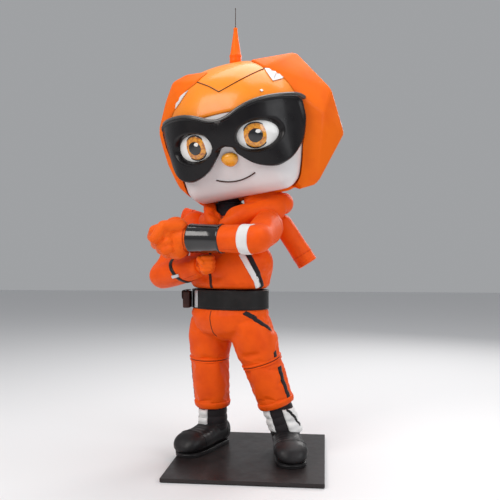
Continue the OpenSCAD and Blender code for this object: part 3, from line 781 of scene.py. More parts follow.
def build_trousers():
    # seat and both thighs as one skin, down to the knee seam
    seat = ellipse_loft("seat_raw", [(0.060, 0.512), (0.120, 0.526), (0.158, 0.556), (0.180, 0.600),
                                     (0.187, 0.640), (0.184, 0.660)], 72, ORANGE, 18)
    thighs = []
    for side in FEET:
        a, b = leg_at(side, KNEE_Z), leg_at(side, 0.60)
        n = (b - a).length
        profile = [(0, 0.082), (0.02, 0.088), (0.06, 0.094), (0.11, 0.098), (n, 0.092)]
        rings = tube_grid(a, b, spline(profile, 20), 56)
        thighs.append(loft(f"thigh_raw_{side}", rings, ORANGE))
    trousers = fuse("trousers_top", [seat, *thighs], 0.0085, ORANGE, 6)

    def grip(points):
        top = smooth((points[:, 2] - 0.640) / 0.012)
        held = top
        for side in FEET:
            near = np.linalg.norm(points[:, :2] - np.array([leg_at(side, z)[:2] for z in points[:, 2]]),
                                  axis=1)
            low = smooth((KNEE_Z + 0.008 - points[:, 2]) / 0.008) * (near < 0.13)
            turn = np.abs(np.abs(leg_angle(side, points)) - math.radians(90))
            seam = np.exp(-(turn / 0.07) ** 2) * (near < 0.12) * (points[:, 2] < 0.52) * 0.85
            held = np.maximum(held, np.maximum(low, seam))
        return held

    puff(trousers, grip, grow=0.055, pressure=1.2, cap=0.016)
    shins = {}
    for side in FEET:
        a, b = leg_at(side, HEM_Z[side]), leg_at(side, KNEE_Z)
        n = (b - a).length
        profile = [(0, 0.072), (0.02, 0.0765), (0.05, 0.079), (0.10, 0.082), (n - 0.05, 0.084),
                   (n - 0.012, 0.083), (n, 0.080)]
        rings = tube_grid(a, b, spline(profile, 54), 84)
        shin = loft(f"trouser_leg_{side}", rings, ORANGE)

        def grip_shin(points, side=side):
            ends = np.maximum(smooth((HEM_Z[side] + 0.030 - points[:, 2]) / 0.012),
                              smooth((points[:, 2] - KNEE_Z + 0.012) / 0.010))
            turn = np.abs(np.abs(leg_angle(side, points)) - math.radians(90))
            return np.maximum(ends, 0.85 * np.exp(-(turn / 0.06) ** 2))

        shins[side] = puff(shin, grip_shin, grow=0.05, pressure=1.0, cap=0.012)
    return trousers, shins


# ---------------------------------------------------------------- trunk

WAIST = 0.188
BELT_LOW, BELT_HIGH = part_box("belt")[0].z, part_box("belt")[1].z
SHOULDER = {side: JOINTS[f"{side}_shoulder"] for side in SIDES}
ELBOW = {side: JOINTS[f"{side}_elbow"] for side in SIDES}
WRIST = {side: JOINTS[f"{side}_wrist"] for side in SIDES}


def in_trunk(*points):
    return moved(points, TRUNK)


def ellipse_ring(radius, z, count=120, start=0.0, stop=2 * math.pi, flatness=FLATNESS):
    """Points round the trunk, from the angle start to stop, counted from its front towards its left."""
    a = np.linspace(start, stop, count, endpoint=stop - start < 2 * math.pi - 1e-6)
    flat = np.stack([radius * np.sin(a), -radius * flatness * np.cos(a), np.full(count, z)], 1)
    return moved(flat, TRUNK)


def build_jacket():
    body = ellipse_loft("jacket_raw", [
        (0.176, BELT_HIGH + 0.004), (0.187, 0.752), (0.194, 0.790), (0.203, 0.830), (0.205, 0.862),
                                       (0.194, 0.900),
        (0.172, 0.938, 0.72), (0.158, 0.975, 0.74), (0.146, 1.010, 0.74), (0.110, 1.040, 0.78),
                                       (0.060, 1.062, 0.95)],
        72, ORANGE, 30)
    yoke = loft("yoke_raw", tube_grid(*[Vector(p) for p in in_trunk((-0.150, 0, 1.004), (0.150, 0, 1.004))],
                                      [(0, 0.020, 0.020), (0.004, 0.045, 0.045), (0.02, 0.062, 0.060),
                                       (0.15, 0.068, 0.064),
                                       (0.28, 0.062, 0.060), (0.296, 0.045, 0.045), (0.30, 0.020, 0.020)],
                                      40), ORANGE)
    jacket = fuse("jacket_shell", [body, yoke], 0.0085, ORANGE, 6)
    inverse = TRUNK.inverted()

    def grip(points):
        flat = moved(points, inverse)
        low = smooth((BELT_HIGH + 0.022 - flat[:, 2]) / 0.014)
        zip_line = np.exp(-(flat[:, 0] / 0.010) ** 2) * (flat[:, 1] < 0) * 0.9
        sides = 0.75 * np.exp(-((np.abs(flat[:, 1]) / 0.012) ** 2)) * (np.abs(flat[:, 0]) > 0.10)
        return np.maximum(low, np.maximum(zip_line, sides))

    return puff(jacket, grip, grow=0.05, pressure=1.0, cap=0.011)


def trim_jacket(jacket):
    subdivide(jacket)
    belongs(jacket, "torso", ["jacket", "shoulder_bar"])
    tree = surface(jacket)
    normal = np.array(TRUNK.to_3x3() @ Vector((0, -1, 0)))
    # zip: a tape with a row of teeth
    zs = np.linspace(BELT_HIGH + 0.010, 1.035, 90)
    line = cast(tree, moved(np.stack([0 * zs, 0 * zs - 0.4, zs], 1), TRUNK), -normal, 0)
    tape = ribbon("zip_tape", tree, line, 0.013, normal, LINE_DARK, 0.0004, 0.0014)
    belongs(tape, "torso", ["zip_front"])
    teeth = stitches("zip_teeth", tree, line, 0.0042, 0.0026, 0.0016, TRIM_BLACK, 0.0022)
    belongs(teeth, "torso")
    # the undershirt shows in the V of the hood
    up = np.linspace(0, 1, 16)
    flat = [(0.026 + 0.004 * v + u * (0.004 + 0.056 * v), -0.128 + 0.050 * v, 0.985 + 0.068 * v)
            for v in up for u in np.linspace(-1, 1, 14)]
    bib = sheet_strip("undershirt_bib", laid(tree, moved(flat, TRUNK), 0.003).reshape(16, 14, 3),
                      laid(tree, moved(flat, TRUNK), -0.001).reshape(16, 14, 3), KNIT_BLACK)
    belongs(bib, "torso")
    # side stripes: white beside black, running down and forward over the hip
    for side, sign in SIDES.items():
        for name, shift, width, material in (("white", 0.026, 0.025, WHITE_CLOTH),
                                             ("black", 0.0, 0.022, TRIM_BLACK)):
            t = np.linspace(0, 1, 60)
            angle = math.radians(62) - math.radians(30) * (1 - t) - shift / 0.17
            z = 0.888 - {"left": 0.142, "right": 0.104}[side] * t
            flat = np.stack([sign * 0.186 * np.sin(angle + 0.38), -0.186 * FLATNESS * np.cos(angle + 0.38),
                             z], 1)
            path = laid(tree, moved(flat, TRUNK), 0)
            centre = moved([(0, 0, 0.82)], TRUNK)[0]
            outward = path.mean(0) - centre
            band = ribbon(f"side_stripe_{name}_{side}", tree, path, width,
                          outward / np.linalg.norm(outward), material)
            belongs(band, "torso",
                    ["jacket_stripes"] if (side, name) == ("left", "white") else ())
    # hem: two rows of stitches
    for k, z in enumerate((BELT_HIGH + 0.014, BELT_HIGH + 0.030)):
        ring = laid(tree, ellipse_ring(0.19, z, 160), 0)
        row = stitches(f"hem_stitches_{k + 1}", tree, ring, 0.006, 0.0036, 0.0006, ORANGE_SEAM_AND_SHADE, 0.0003,
                       closed=True)
        belongs(row, "torso")


def build_belt():
    rows = [(0.0, 0.0030), (0.002, 0.0), (0.010, -0.0006), (0.030, -0.0004), (0.054, -0.0004),
            (0.072, -0.0006),
            (0.079, 0.0), (0.081, 0.0014), (0.084, 0.0030)]
    heights = spline(rows, 30)
    rings = [ellipse_ring(WAIST - inward + 0.0005, BELT_LOW + z, 160) for z, inward in heights]
    inner = [ellipse_ring(WAIST - 0.010, BELT_LOW + z, 160) for z in (0.083, 0.001)]
    belt = loft("belt_strap", np.array([*rings, *inner, rings[0]]), BELT, caps=False)
    belongs(belt, "stand", ["belt"])
    tree = surface(belt)
    for name, z, radius, material in (("top", 0.081, 0.0018, BELT), ("bottom", 0.003, 0.0018, BELT)):
        ring = ellipse_ring(WAIST + 0.0005, BELT_LOW + z, 200)
        bead = cord_mesh(f"belt_piping_{name}", ring, radius, material, 8, closed=True)
        belongs(bead, "stand")
    for z in (0.011, 0.073):
        ring = ellipse_ring(WAIST + 0.001, BELT_LOW + z, 220)
        row = stitches(f"belt_stitches_{round(z * 1000)}", tree, ring, 0.0085, 0.0055, 0.0007, TRIM_BLACK,
                       0.0003, closed=True)
        belongs(row, "stand")
    build_buckle()


def build_buckle():
    """Brushed bar buckle: a bevelled plate with a plain raised bar."""
    t = math.radians(-33)
    for name, half, low, high, out, thick in (("plate", 0.017, 0.004, 0.080, 0.0022, 0.0030),
                                              ("bar", 0.007, 0.014, 0.070, 0.0050, 0.0026)):
        outer, inner = [], []
        zs = [low, low + 0.0015, *np.linspace(low + 0.004, high - 0.004, 12), high - 0.0015, high]
        lifts = [0.4, 0.85, *[1.0] * 12, 0.85, 0.4]
        for z, lift in zip(zs, lifts):
            a = np.array([-1, -0.93, -0.8, -0.4, 0, 0.4, 0.8, 0.93, 1]) * half / WAIST + t
            side = np.array([0.4, 0.85, 1, 1, 1, 1, 1, 0.85, 0.4]) * lift
            outer.append(np.vstack([ellipse_ring(WAIST + out - thick * (1 - s), BELT_LOW + z, 1, x,
                                                 x + 1e-9)
                                    for x, s in zip(a, side)]))
            inner.append(np.vstack([ellipse_ring(WAIST + 0.0002, BELT_LOW + z, 1, x, x + 1e-9) for x in a]))
        obj = sheet_strip(f"buckle_{name}", outer, inner, STEEL)
        belongs(obj, "stand", ["buckle"] if name == "plate" else ())


def soft_box(name, low, high, radius, swell, material, cuts=14):
    """A box with rounded edges and slightly swollen sides."""
    bm = bmesh.new()
    bmesh.ops.create_cube(bm, size=2)
    bmesh.ops.subdivide_edges(bm, edges=bm.edges[:], cuts=cuts, use_grid_fill=True)
    low, high = np.array(low), np.array(high)
    half, mid = (high - low) / 2, (high + low) / 2
    for v in bm.verts:
        p = np.array(v.co)
        core = np.clip(p * half, -(half - radius), half - radius)
        out = p * half - core
        n = np.linalg.norm(out)
        q = core + (out / n * radius if n > 1e-9 else 0)
        bulge = np.prod([1 - p[i] ** 2 if abs(p[i]) < 0.999 else 1 for i in range(3)])
        face = np.argmax(np.abs(p))
        q[face] += math.copysign(swell * bulge, p[face])
        v.co = Vector(q + mid)
    mesh = bpy.data.meshes.new(name)
    bm.to_mesh(mesh)
    bm.free()
    mesh.materials.append(material)
    obj = bpy.data.objects.new(name, mesh)
    bpy.context.scene.collection.objects.link(obj)
    fix_normals(obj)
    mesh.shade_smooth()
    return obj


def build_pouch():
    low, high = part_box("pouch")
    flap_low, flap_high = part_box("pouch_flap")
    body = soft_box("pouch_body", low, (high.x, high.y, flap_high.z - 0.006), 0.005, 0.0015, POUCH)
    belongs(body, "stand", ["pouch"])
    tree = surface(body)
    line = [(low.x - 0.01, y, low.z + 0.005) for y in np.linspace(low.y + 0.005, high.y - 0.005, 40)]
    row = stitches("pouch_stitches_1", tree, laid(tree, line, 0), 0.005, 0.0032, 0.0005, ORANGE_SEAM_AND_SHADE)
    belongs(row, "stand")
    # the flap: over the top and down the front, with a rounded lower edge and a snap
    y = np.linspace(-1, 1, 22)
    drop = [(flap_high.x - 0.004, 0), (flap_low.x + 0.010, 0), (flap_low.x + 0.002, 0.003),
            (flap_low.x - 0.0005, 0.009),
            (flap_low.x - 0.0008, 0.020), (flap_low.x - 0.0006, 0.030), (flap_low.x, 0.040)]
    path = spline(drop, 34)
    outer, inner = [], []
    for i, (x, d) in enumerate(path):
        share = i / (len(path) - 1)
        half = (high.y - low.y) / 2 + 0.0015
        narrow = 1 - 0.10 * smooth((share - 0.75) / 0.25)
        mid = (high.y + low.y) / 2
        z = flap_high.z - d
        outer.append([(x, mid + v * half * narrow, z) for v in y])
        inner.append([(x + 0.0026 * min(1, d / 0.005), mid + v * (half * narrow - 0.0006),
                       z - 0.0026 * (1 - min(1, d / 0.009)))
                      for v in y])
    flap = sheet_strip("pouch_cover", outer, inner, POUCH)
    belongs(flap, "flap", ["pouch_flap"])
    stud = loft("pouch_snap", tube_grid(Vector((flap_low.x + 0.001, mid, flap_high.z - 0.030)),
                                        Vector((flap_low.x - 0.004, mid, flap_high.z - 0.030)),
                                        [(0, 0.0052), (0.0015, 0.0052), (0.0026, 0.0040), (0.0030, 0.0015)],
                                        28), STEEL)
    belongs(stud, "flap")


# ---------------------------------------------------------------- neck, hood and sleeve tails


def build_collar():
    """Undershirt collar: knitted ribs round a short neck."""
    columns = 180
    angles = np.linspace(0, 2 * math.pi, columns, endpoint=False)
    rib = 0.0011 * np.cos(angles * 60)
    rings = []
    for z, r in ((1.052, 0.066), (1.066, 0.067), (1.084, 0.064), (1.100, 0.062), (1.110, 0.0615),
                 (1.116, 0.0590),
                 (1.117, 0.0560), (1.112, 0.0530), (1.080, 0.0520)):
        rad = r + rib * (z < 1.1165)
        rings.append(np.stack([rad * np.cos(angles), rad * np.sin(angles), np.full(columns, z)], 1))
    collar = loft("undershirt_collar", moved(np.array(rings), TRUNK), KNIT_BLACK)
    belongs(collar, "torso", ["collar"])
    rings = []
    for z in np.linspace(1.100, 1.158, 30):
        r = 0.055 - 0.10 * (z - 1.100) + 0.0016 * math.sin((z - 1.100) * 480)
        rings.append(np.stack([r * np.cos(angles), r * np.sin(angles), np.full(columns, z)], 1))
    neck = loft("undershirt_neck", moved(np.array([*rings, rings[-1] * [0.7, 0.7, 1]]), TRUNK), KNIT_BLACK)
    belongs(neck, "torso")


HOOD_RING, HOOD_R = 0.112, 0.036
# The heap of cloth over the left shoulder and the back: trunk frame, with its radius
HOOD_DRAPE = [(0.062, -0.110, 1.046, 0.028), (0.130, -0.060, 1.074, 0.036), (0.176, 0.024, 1.100, 0.043),
              (0.206, 0.096, 1.112, 0.046), (0.138, 0.164, 1.108, 0.046), (0.020, 0.196, 1.096, 0.042),
              (-0.092, 0.176, 1.074, 0.036)]
HOOD = TRUNK @ Matrix.Translation((0, 0.014, 1.046)) @ Matrix.Rotation(math.radians(12), 4, "X")


def hood_grid(ring, radius, squeeze, rows=132, columns=44, seed=1.0, twist=0.0, lift=0.0):
    """Rings of a lumpy roll round the neck, thin and sunk at the V in front."""
    rings = []
    for i in range(rows):
        t = 2 * math.pi * i / rows
        fold = noise.noise(Vector((math.cos(t) * 2.2 + seed, math.sin(t) * 2.2, seed)))
        r = ring + 0.006 * fold
        notch = math.exp(-(((t - math.pi + 0.42) / 0.26) ** 2))
        thick = radius * (1 + 0.12 * noise.noise(Vector((math.cos(t) * 3.1, math.sin(t) * 3.1,
                                                         seed + 5)))) * (1 - 0.62 * notch)
        centre = np.array([r * math.sin(t), r * math.cos(t),
                           (lift + 0.004 * fold) * (1 - notch) - 0.030 * notch])
        out = np.array([math.sin(t), math.cos(t), 0])
        a = np.linspace(0, 2 * math.pi, columns, endpoint=False) + twist * math.sin(t)
        pinch = 1 - 0.10 * np.cos(2 * a + 1.5 * math.sin(2 * t + seed))
        rings.append(centre + (thick * np.cos(a) * pinch)[:, None] * out
                     + (thick * squeeze * np.sin(a) * pinch)[:, None] * np.array([0, 0, 1]))
    rings.append(rings[0])
    return np.array(rings)


def roll_mesh(name, keys, rows, columns, material):
    """A lumpy roll of cloth along keys of x, y, z and radius, with round ends."""
    line = spline(keys, rows)
    rings = []
    for i, (x, y, z, r) in enumerate(line):
        step = line[min(i + 1, rows - 1), :3] - line[max(i - 1, 0), :3]
        along = Vector(step).normalized()
        side, up = basis_of(along)
        end = min(i, rows - 1 - i) / 5
        r *= math.sqrt(max(0.02, 1 - max(0,
                                         1 - end) ** 2)) * (1 + 0.10 * noise.noise(Vector((x, y, z)) * 22))
        a = np.linspace(0, 2 * math.pi, columns, endpoint=False)
        rings.append(np.array([x, y, z]) + r * (np.cos(a)[:, None] * side + np.sin(a)[:, None] * up))
    return loft(name, moved(np.array(rings), TRUNK), material)


def basis_of(along):
    side = along.cross(Vector((0, 0, 1))).normalized()
    return np.array(side), np.array(side.cross(along))


def build_hood():
    """The laid-back hood: fat and thin rolls round the neck, and a heap over the left shoulder."""
    low = loft("hood_raw", moved(hood_grid(HOOD_RING, HOOD_R - 0.001, 0.92, seed=1.0), HOOD), ORANGE,
               caps=False)
    top = loft("hood_top_raw", moved(hood_grid(HOOD_RING - 0.024, 0.021, 0.9, seed=4.0, lift=0.026), HOOD),
               ORANGE, caps=False)
    drape = roll_mesh("hood_drape_raw", HOOD_DRAPE, 60, 40, ORANGE)
    fold = roll_mesh("hood_fold_raw", [(x * 0.86, y * 0.86, z + 0.041, r * 0.62) for x, y, z,
                                       r in HOOD_DRAPE[1:6]], 50, 36, ORANGE)
    skirt = roll_mesh("hood_skirt_raw", [(0.050, -0.128, 1.004, 0.022), (0.096, -0.108, 1.034, 0.034),
                                         (0.150, -0.058, 1.062, 0.044),
                                         (0.190, 0.020, 1.082, 0.050), (0.212, 0.090, 1.090, 0.050)], 50,
                      40, ORANGE)
    lapel = roll_mesh("hood_lapel_raw", [(0.010, -0.126, 1.010, 0.018), (-0.022, -0.112, 1.044, 0.024),
                                         (-0.046, -0.084, 1.082, 0.027),
                                         (-0.072, -0.044, 1.104, 0.027), (-0.100, 0.020, 1.104, 0.026)], 40,
                      32, ORANGE)
    hood = fuse("hood_roll", [low, top, drape, fold, skirt, lapel], 0.007, ORANGE, 2)
    inverse = HOOD.inverted()

    def grip(points):
        flat = moved(points, inverse)
        r = np.hypot(flat[:, 0], flat[:, 1])
        fold = (np.exp(-(((r - HOOD_RING + 0.006) / 0.006) ** 2))
                * np.exp(-(((flat[:, 2] - 0.030) / 0.012) ** 2)))
        inside = smooth((0.078 - r) / 0.006)
        return np.maximum(0.9 * fold, inside)

    return puff(hood, grip, grow=0.09, pressure=0.9, cap=0.010)


def build_sleeve_tails():
    """Stuffed tubes that hang from the back of the shoulders, open at a hemmed end."""
    made = []
    for side, a, b, r in (("left", (0.178, 0.150, 1.030), (0.278, 0.205, 0.852), 0.042),
                          ("right", (-0.165, 0.140, 1.030), (-0.338, 0.076, 1.078), 0.036)):
        a, b = (Vector(p) for p in in_trunk(a, b))
        n = (b - a).length
        profile = [(-0.030, r * 0.35), (-0.024, r * 0.72), (0.0, r * 0.98), (0.05, r * 1.02),
                   (n * 0.6, r * 1.0),
                   (n - 0.030, r * 1.05), (n - 0.002, r * 1.09), (n, r * 1.05)]
        tube = loft(f"sleeve_tail_{side}_cloth", tube_grid(a, b, spline(profile, 60), 64), ORANGE)

        def grip(points, a=np.array(a), d=np.array((b - a).normalized()), n=n):
            s = (points - a) @ d
            return np.maximum(smooth((s - n + 0.030) / 0.010), smooth((-0.01 - s) / 0.01))

        made.append((side, a, b, r, puff(tube, grip, grow=0.07, pressure=1.0, cap=0.009)))
    return made


def trim_sleeve_tails(made):
    for side, a, b, r, tube in made:
        subdivide(tube)
        belongs(tube, "torso", [f"sleeve_tail_{side}"])
        tree = surface(tube)
        n = (b - a).length
        for back in (0.010, 0.046):
            ring = tube_grid(a, b, [(n - back, r * 1.1)], 90)[0]
            row = stitches(f"tail_stitches_{side}_{round(back * 1000)}", tree, laid(tree, ring, 0), 0.0055,
                           0.0034, 0.0006,
                           ORANGE_SEAM_AND_SHADE, 0.0003, closed=True)
            belongs(row, "torso")
        ring = laid(tree, tube_grid(a, b, [(n - 0.042, r * 1.1)], 90)[0], 0.0002)
        seam = cord_mesh(f"tail_seam_{side}", ring, 0.0016, ORANGE_SEAM_AND_SHADE, 8, closed=True)
        belongs(seam, "torso")
        # a darker orange disc across the open end: painted shade inside the hollow tube
        mouth = tube_grid(a, b, [(n - 0.0005, r * 0.80), (n + 0.0006, r * 0.78), (n + 0.0006, r * 0.01)],
                          48)
        belongs(loft(f"tail_mouth_shade_{side}", mouth, ORANGE_SEAM_AND_SHADE), "torso")
        lip = cord_mesh(f"tail_lip_{side}", tube_grid(a, b, [(n - 0.001, r * 0.93)], 64)[0], 0.0045, ORANGE,
                        10, closed=True)
        belongs(lip, "torso")


# ---------------------------------------------------------------- arms and hands


def build_sleeve(side):
    """One sleeve from shoulder to wrist, bent at the elbow, as a single skin."""
    a, e, w = SHOULDER[side], ELBOW[side], WRIST[side]
    wrist_r = {"left": 0.050, "right": 0.044}[side]
    n, m = (e - a).length, (w - e).length
    upper = [(-0.071, 0.004), (-0.066, 0.028), (-0.050, 0.052), (-0.02, 0.068), (0.01, 0.0715),
             (0.06, 0.070),
             (n * 0.55, 0.064), (n - 0.05, 0.0605), (n, 0.059), (n + 0.035, 0.048), (n + 0.052, 0.028),
             (n + 0.059, 0.004)]
    lower = [(-0.058, 0.004), (-0.050, 0.028), (-0.034, 0.048), (0.0, 0.0585), (0.05, 0.0600),
             (m * 0.5, 0.056),
             (m - 0.02, wrist_r + 0.002), (m, wrist_r)]
    parts = [loft(f"sleeve_raw_{side}", tube_grid(a, e, spline(upper, 30), 48), ORANGE),
             loft(f"forearm_raw_{side}", tube_grid(e, w, spline(lower, 30), 48), ORANGE)]
    sleeve = fuse(f"sleeve_{side}", parts, 0.0075, ORANGE, 4)
    start, end = np.array(w), np.array((w - e).normalized())

    def grip(points):
        s = (points - start) @ end
        crease = np.linalg.norm(points - np.array(e), axis=1)
        return np.maximum(smooth((s + 0.030) / 0.012), smooth((0.020 - crease) / 0.02))

    return puff(sleeve, grip, grow=0.085, pressure=0.8, cap=0.012)


def trim_sleeve(side, sleeve):
    subdivide(sleeve)
    tree = surface(sleeve)
    a, e, w = SHOULDER[side], ELBOW[side], WRIST[side]
    m = (w - e).length
    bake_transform(sleeve)
    finish_piece([f"upper_arm_{side}", f"forearm_{side}", f"elbow_pin_{side}",
                                         f"shoulder_pin_{side}", f"wrist_pin_{side}"])
    # shoulder seam and forearm seam as fine piping
    ring = tube_grid(a, e, [(0.040, 0.074)], 96)[0]
    bead = cord_mesh(f"shoulder_seam_{side}", laid(tree, ring, -0.0004), 0.0013, ORANGE_SEAM_AND_SHADE, 8,
                     closed=True)
    belongs(bead, f"{side}_arm")
    along = (w - e).normalized()
    line = [e + along * s + Vector((0, -0.045, -0.045)) for s in np.linspace(0.075, m - 0.02, 60)]
    bead = cord_mesh(f"forearm_seam_{side}", laid(tree, line, 0.0002), 0.0012, ORANGE_SEAM_AND_SHADE, 8)
    belongs(bead, f"{side}_forearm")
    return tree


def band_round(name, a, b, keys, material, columns=120):
    """A turned band round a limb. keys: (metres along, radius), out along its outside and back inside."""
    return loft(name, tube_grid(a, b, keys, columns), material, caps=False)


def build_cuffs(trees):
    e, w = ELBOW["left"], WRIST["left"]
    length = (w - e).length
    r = 0.0605
    cuff_from, cuff_to = length - 0.152, length - 0.004
    keys = [(cuff_from, r - 0.0055), (cuff_from - 0.0005, r - 0.001), (cuff_from + 0.0015, r + 0.0006),
            (cuff_from + 0.006, r + 0.0010), (cuff_from + 0.010, r - 0.0006),
            (cuff_from + 0.05, r - 0.0010),
            (cuff_to - 0.05, r - 0.0010), (cuff_to - 0.012, r - 0.0006), (cuff_to - 0.007, r + 0.0010),
            (cuff_to - 0.0015, r + 0.0006), (cuff_to, r - 0.001), (cuff_to - 0.0005, r - 0.0055)]
    cuff = band_round("gauntlet_cuff", e, w, [*keys, keys[0]], CUFF_BLACK)
    belongs(cuff, "left_forearm", ["cuff_left"])
    # white armband
    tree = trees["left"]
    at = length - 0.262
    ring = lambda s: tube_grid(e, w, [(s, 0.075)], 110)[0]
    rows = [laid(tree, ring(at + s), 0.0) for s in np.linspace(-0.024, 0.024, 13)]
    centre = [np.array(e + (w - e).normalized() * (at + s)) for s in np.linspace(-0.024, 0.024, 13)]
    lifts = [0.0004, 0.0022, 0.0028, *[0.0030] * 7, 0.0028, 0.0022, 0.0004]
    rings = []
    for row, mid, lift in zip(rows, centre, lifts):
        out = row - mid
        far = np.linalg.norm(out, axis=1)
        rings.append(mid + out / far[:, None] * (np.minimum(far, 0.0625) + lift)[:, None])
    band = loft("armband", np.array(rings), WHITE_CLOTH, caps=False)
    modify(band, "SOLIDIFY", thickness=0.0015, offset=-1)
    with_modifiers(band)
    band.data.shade_smooth()
    belongs(band, "left_forearm")


def capsule(a, b, ra, rb, columns=20):
    a, b = Vector(a), Vector(b)
    n = (b - a).length
    t = np.linspace(0, math.pi / 2, 7)
    keys = [(-ra * math.cos(x), max(ra * math.sin(x), 0.0004)) for x in t]
    keys += [(n + rb * math.sin(x), max(rb * math.cos(x), 0.0004)) for x in t]
    return loft("capsule", tube_grid(a, b, keys, columns), GLOVE)


def build_hand(side, trees):
    """A gloved fist: palm, four curled fingers and a thumb across them, in one skin."""
    e, w = ELBOW[side], WRIST[side]
    size, curl = {"left": (1.62, 0.075), "right": (0.80, 0.30)}[side]
    along = (w - e).normalized()
    front = (TRUNK.to_3x3() @ Vector((0, -1, 0)))
    palm_out = (front - along * front.dot(along)).normalized()
    up = along.cross(palm_out) * (-1 if side == "left" else 1)
    if up.z < 0:
        up = -up

    def at(x, y, z):
        """x along the arm, y out of the trunk's front, z up, from the wrist; the fist bends down."""
        turn = max(0, x - 0.030) / curl
        if turn:
            x, z = 0.030 + (curl + z) * math.sin(turn), -curl + (curl + z) * math.cos(turn)
        return w + (along * x + palm_out * y + up * z) * size

    parts = [capsule(at(-0.008, 0, 0), at(0.026, 0, 0), min(0.038 * size, 0.049), 0.036 * size),
             capsule(at(0.038, 0.004, 0.022), at(0.038, 0.004, -0.022), 0.034 * size, 0.033 * size),
             capsule(at(0.060, -0.004, 0.022), at(0.060, -0.004, -0.024), 0.029 * size, 0.027 * size)]
    for k, z in enumerate((0.034, 0.0125, -0.009, -0.030)):
        r = (0.0148, 0.0152, 0.0148, 0.0134)[k] * size
        reach = (0.0, 0.004, 0.003, -0.004)[k]
        knuckle, middle = at(0.072 + reach, -0.016, z), at(0.088 + reach, 0.012, z * 0.98)
        tip, inner = at(0.070 + reach, 0.037, z * 0.95), at(0.045, 0.037, z * 0.9)
        parts += [capsule(knuckle, middle, r * 1.08, r), capsule(middle, tip, r, r * 0.98),
                  capsule(tip, inner, r, r * 0.92)]
    parts += [capsule(at(0.020, 0.020, 0.030), at(0.046, 0.046, 0.030), 0.0185 * size, 0.0165 * size),
              capsule(at(0.046, 0.046, 0.030), at(0.070, 0.054, 0.008), 0.0165 * size, 0.0150 * size)]
    hand = fuse(f"glove_{side}", parts, 0.0026, GLOVE, 5)
    subdivide(hand, 1)
    belongs(hand, f"{side}_hand", [f"hand_{side}"])
    # stitched ring at the glove's wrist
    tree = surface(hand)
    ring = tube_grid(w, w + along * 0.05, [(0.008, 0.060)], 80)[0]
    hem = cord_mesh(f"glove_hem_{side}", laid(tree, ring, 0.0005), 0.0022, ORANGE_SEAM_AND_SHADE, 8, closed=True)
    belongs(hem, f"{side}_hand")
    backs = [laid(tree, [at(0.030 + 0.034 * t, -0.050, z) for t in np.linspace(0, 1, 14)], 0.0002)
             for z in (0.020, 0.002, -0.016)]
    for k, line in enumerate(backs):
        ridge = cord_mesh(f"glove_ridge_{side}_{k + 1}", line, 0.0015, GLOVE, 8)
        belongs(ridge, f"{side}_hand")
    if side == "right":
        build_arm_strap(trees["right"], e, along)


def build_arm_strap(tree, elbow, along):
    """Thin black strap slanting round the right forearm, with a small grey buckle."""
    rings = []
    for s, lift in ((0.118, 0.0002), (0.119, 0.0028), (0.128, 0.0034), (0.137, 0.0028), (0.138, 0.0002)):
        ring = tube_grid(elbow, elbow + along * 0.05, [(s, 0.066)], 80)[0]
        lean = (ring - ring.mean(0))[:, 2:] * np.array(along) * 0.45
        rings.append(laid(tree, ring - lean, lift))
    strap = loft("arm_strap", np.array(rings), BELT, caps=False)
    modify(strap, "SOLIDIFY", thickness=0.0016, offset=-1)
    with_modifiers(strap)
    belongs(strap, "right_forearm")
    middle = rings[2][int(np.argmin(rings[2][:, 1]))]
    half = np.array(along) * 0.020
    buckle = ribbon("arm_strap_buckle", tree, np.linspace(middle - half, middle + half, 14), 0.014,
                    np.array((0, -1, 0)),
                    STEEL, 0.004, 0.003)
    belongs(buckle, "right_forearm")


# ---------------------------------------------------------------- head

SKULL_BALLS = np.array([
    (0.042, 0.010, 0.030, 0.260), (-0.042, 0.010, 0.030, 0.260),
    (0.170, -0.105, -0.190, 0.082), (-0.170, -0.105, -0.190, 0.082),
    (0.130, 0.095, -0.165, 0.105), (-0.130, 0.095, -0.165, 0.105)])
BLENDING = 0.008


def skull_points(directions, grow=0.0):
    """The skull's surface point for each outward normal: balls blended by how far each reaches."""
    reach = directions @ SKULL_BALLS[:, :3].T + SKULL_BALLS[:, 3]
    weight = np.exp((reach - reach.max(1, keepdims=True)) / BLENDING)
    weight /= weight.sum(1, keepdims=True)
    radius = weight @ SKULL_BALLS[:, 3]
    return weight @ SKULL_BALLS[:, :3] + directions * (radius + grow)[:, None]


def directions_grid(rows, columns):
    polar = np.linspace(0.004, math.pi - 0.004, rows)
    around = np.linspace(0, 2 * math.pi, columns, endpoint=False)
    p, a = np.meshgrid(polar, around, indexing="ij")
    return np.stack([np.sin(p) * np.cos(a), np.sin(p) * np.sin(a), np.cos(p)], -1)


def skull_tree(grow):
    rows, columns = 300, 400
    points = skull_points(directions_grid(rows, columns).reshape(-1, 3), grow)
    caps = [tuple(range(columns)), tuple(range((rows - 1) * columns, rows * columns))[::-1]]
    return BVHTree.FromPolygons([Vector(p) for p in points],
                                [*(f[::-1] for f in grid_faces(rows, columns)), *caps])


SKULL_TREE = skull_tree(0.0)


def skull_grid(rows, columns, grow, low=-1.0, high=1.0):
    """An even grid on the skull, by rays from its middle; low and high bound the sine of elevation."""
    lift = np.linspace(math.asin(high), math.asin(low), rows)
    around = np.linspace(0, 2 * math.pi, columns, endpoint=False)
    out = np.zeros((rows, columns, 3))
    for i, e in enumerate(lift):
        for j, a in enumerate(around):
            d = Vector((math.cos(e) * math.cos(a), math.cos(e) * math.sin(a), math.sin(e)))
            at, normal, _, _ = SKULL_TREE.ray_cast(Vector((0, 0, -0.02)), d)
            out[i, j] = at + normal * grow
    return out


def on_face(points, lift):
    """Front-view points (x, z) of the head, dropped onto the skull from the front."""
    return cast(SKULL_TREE, [(x, -0.6, z) for x, z in points], (0, 1, 0), lift)


def head_object(obj, replaces=()):
    obj.data.transform(HEAD)
    return belongs(obj, "head", replaces)


DOME_TILT = Matrix.Rotation(math.radians(-28), 4, "X")
DOME_EDGE = -0.043


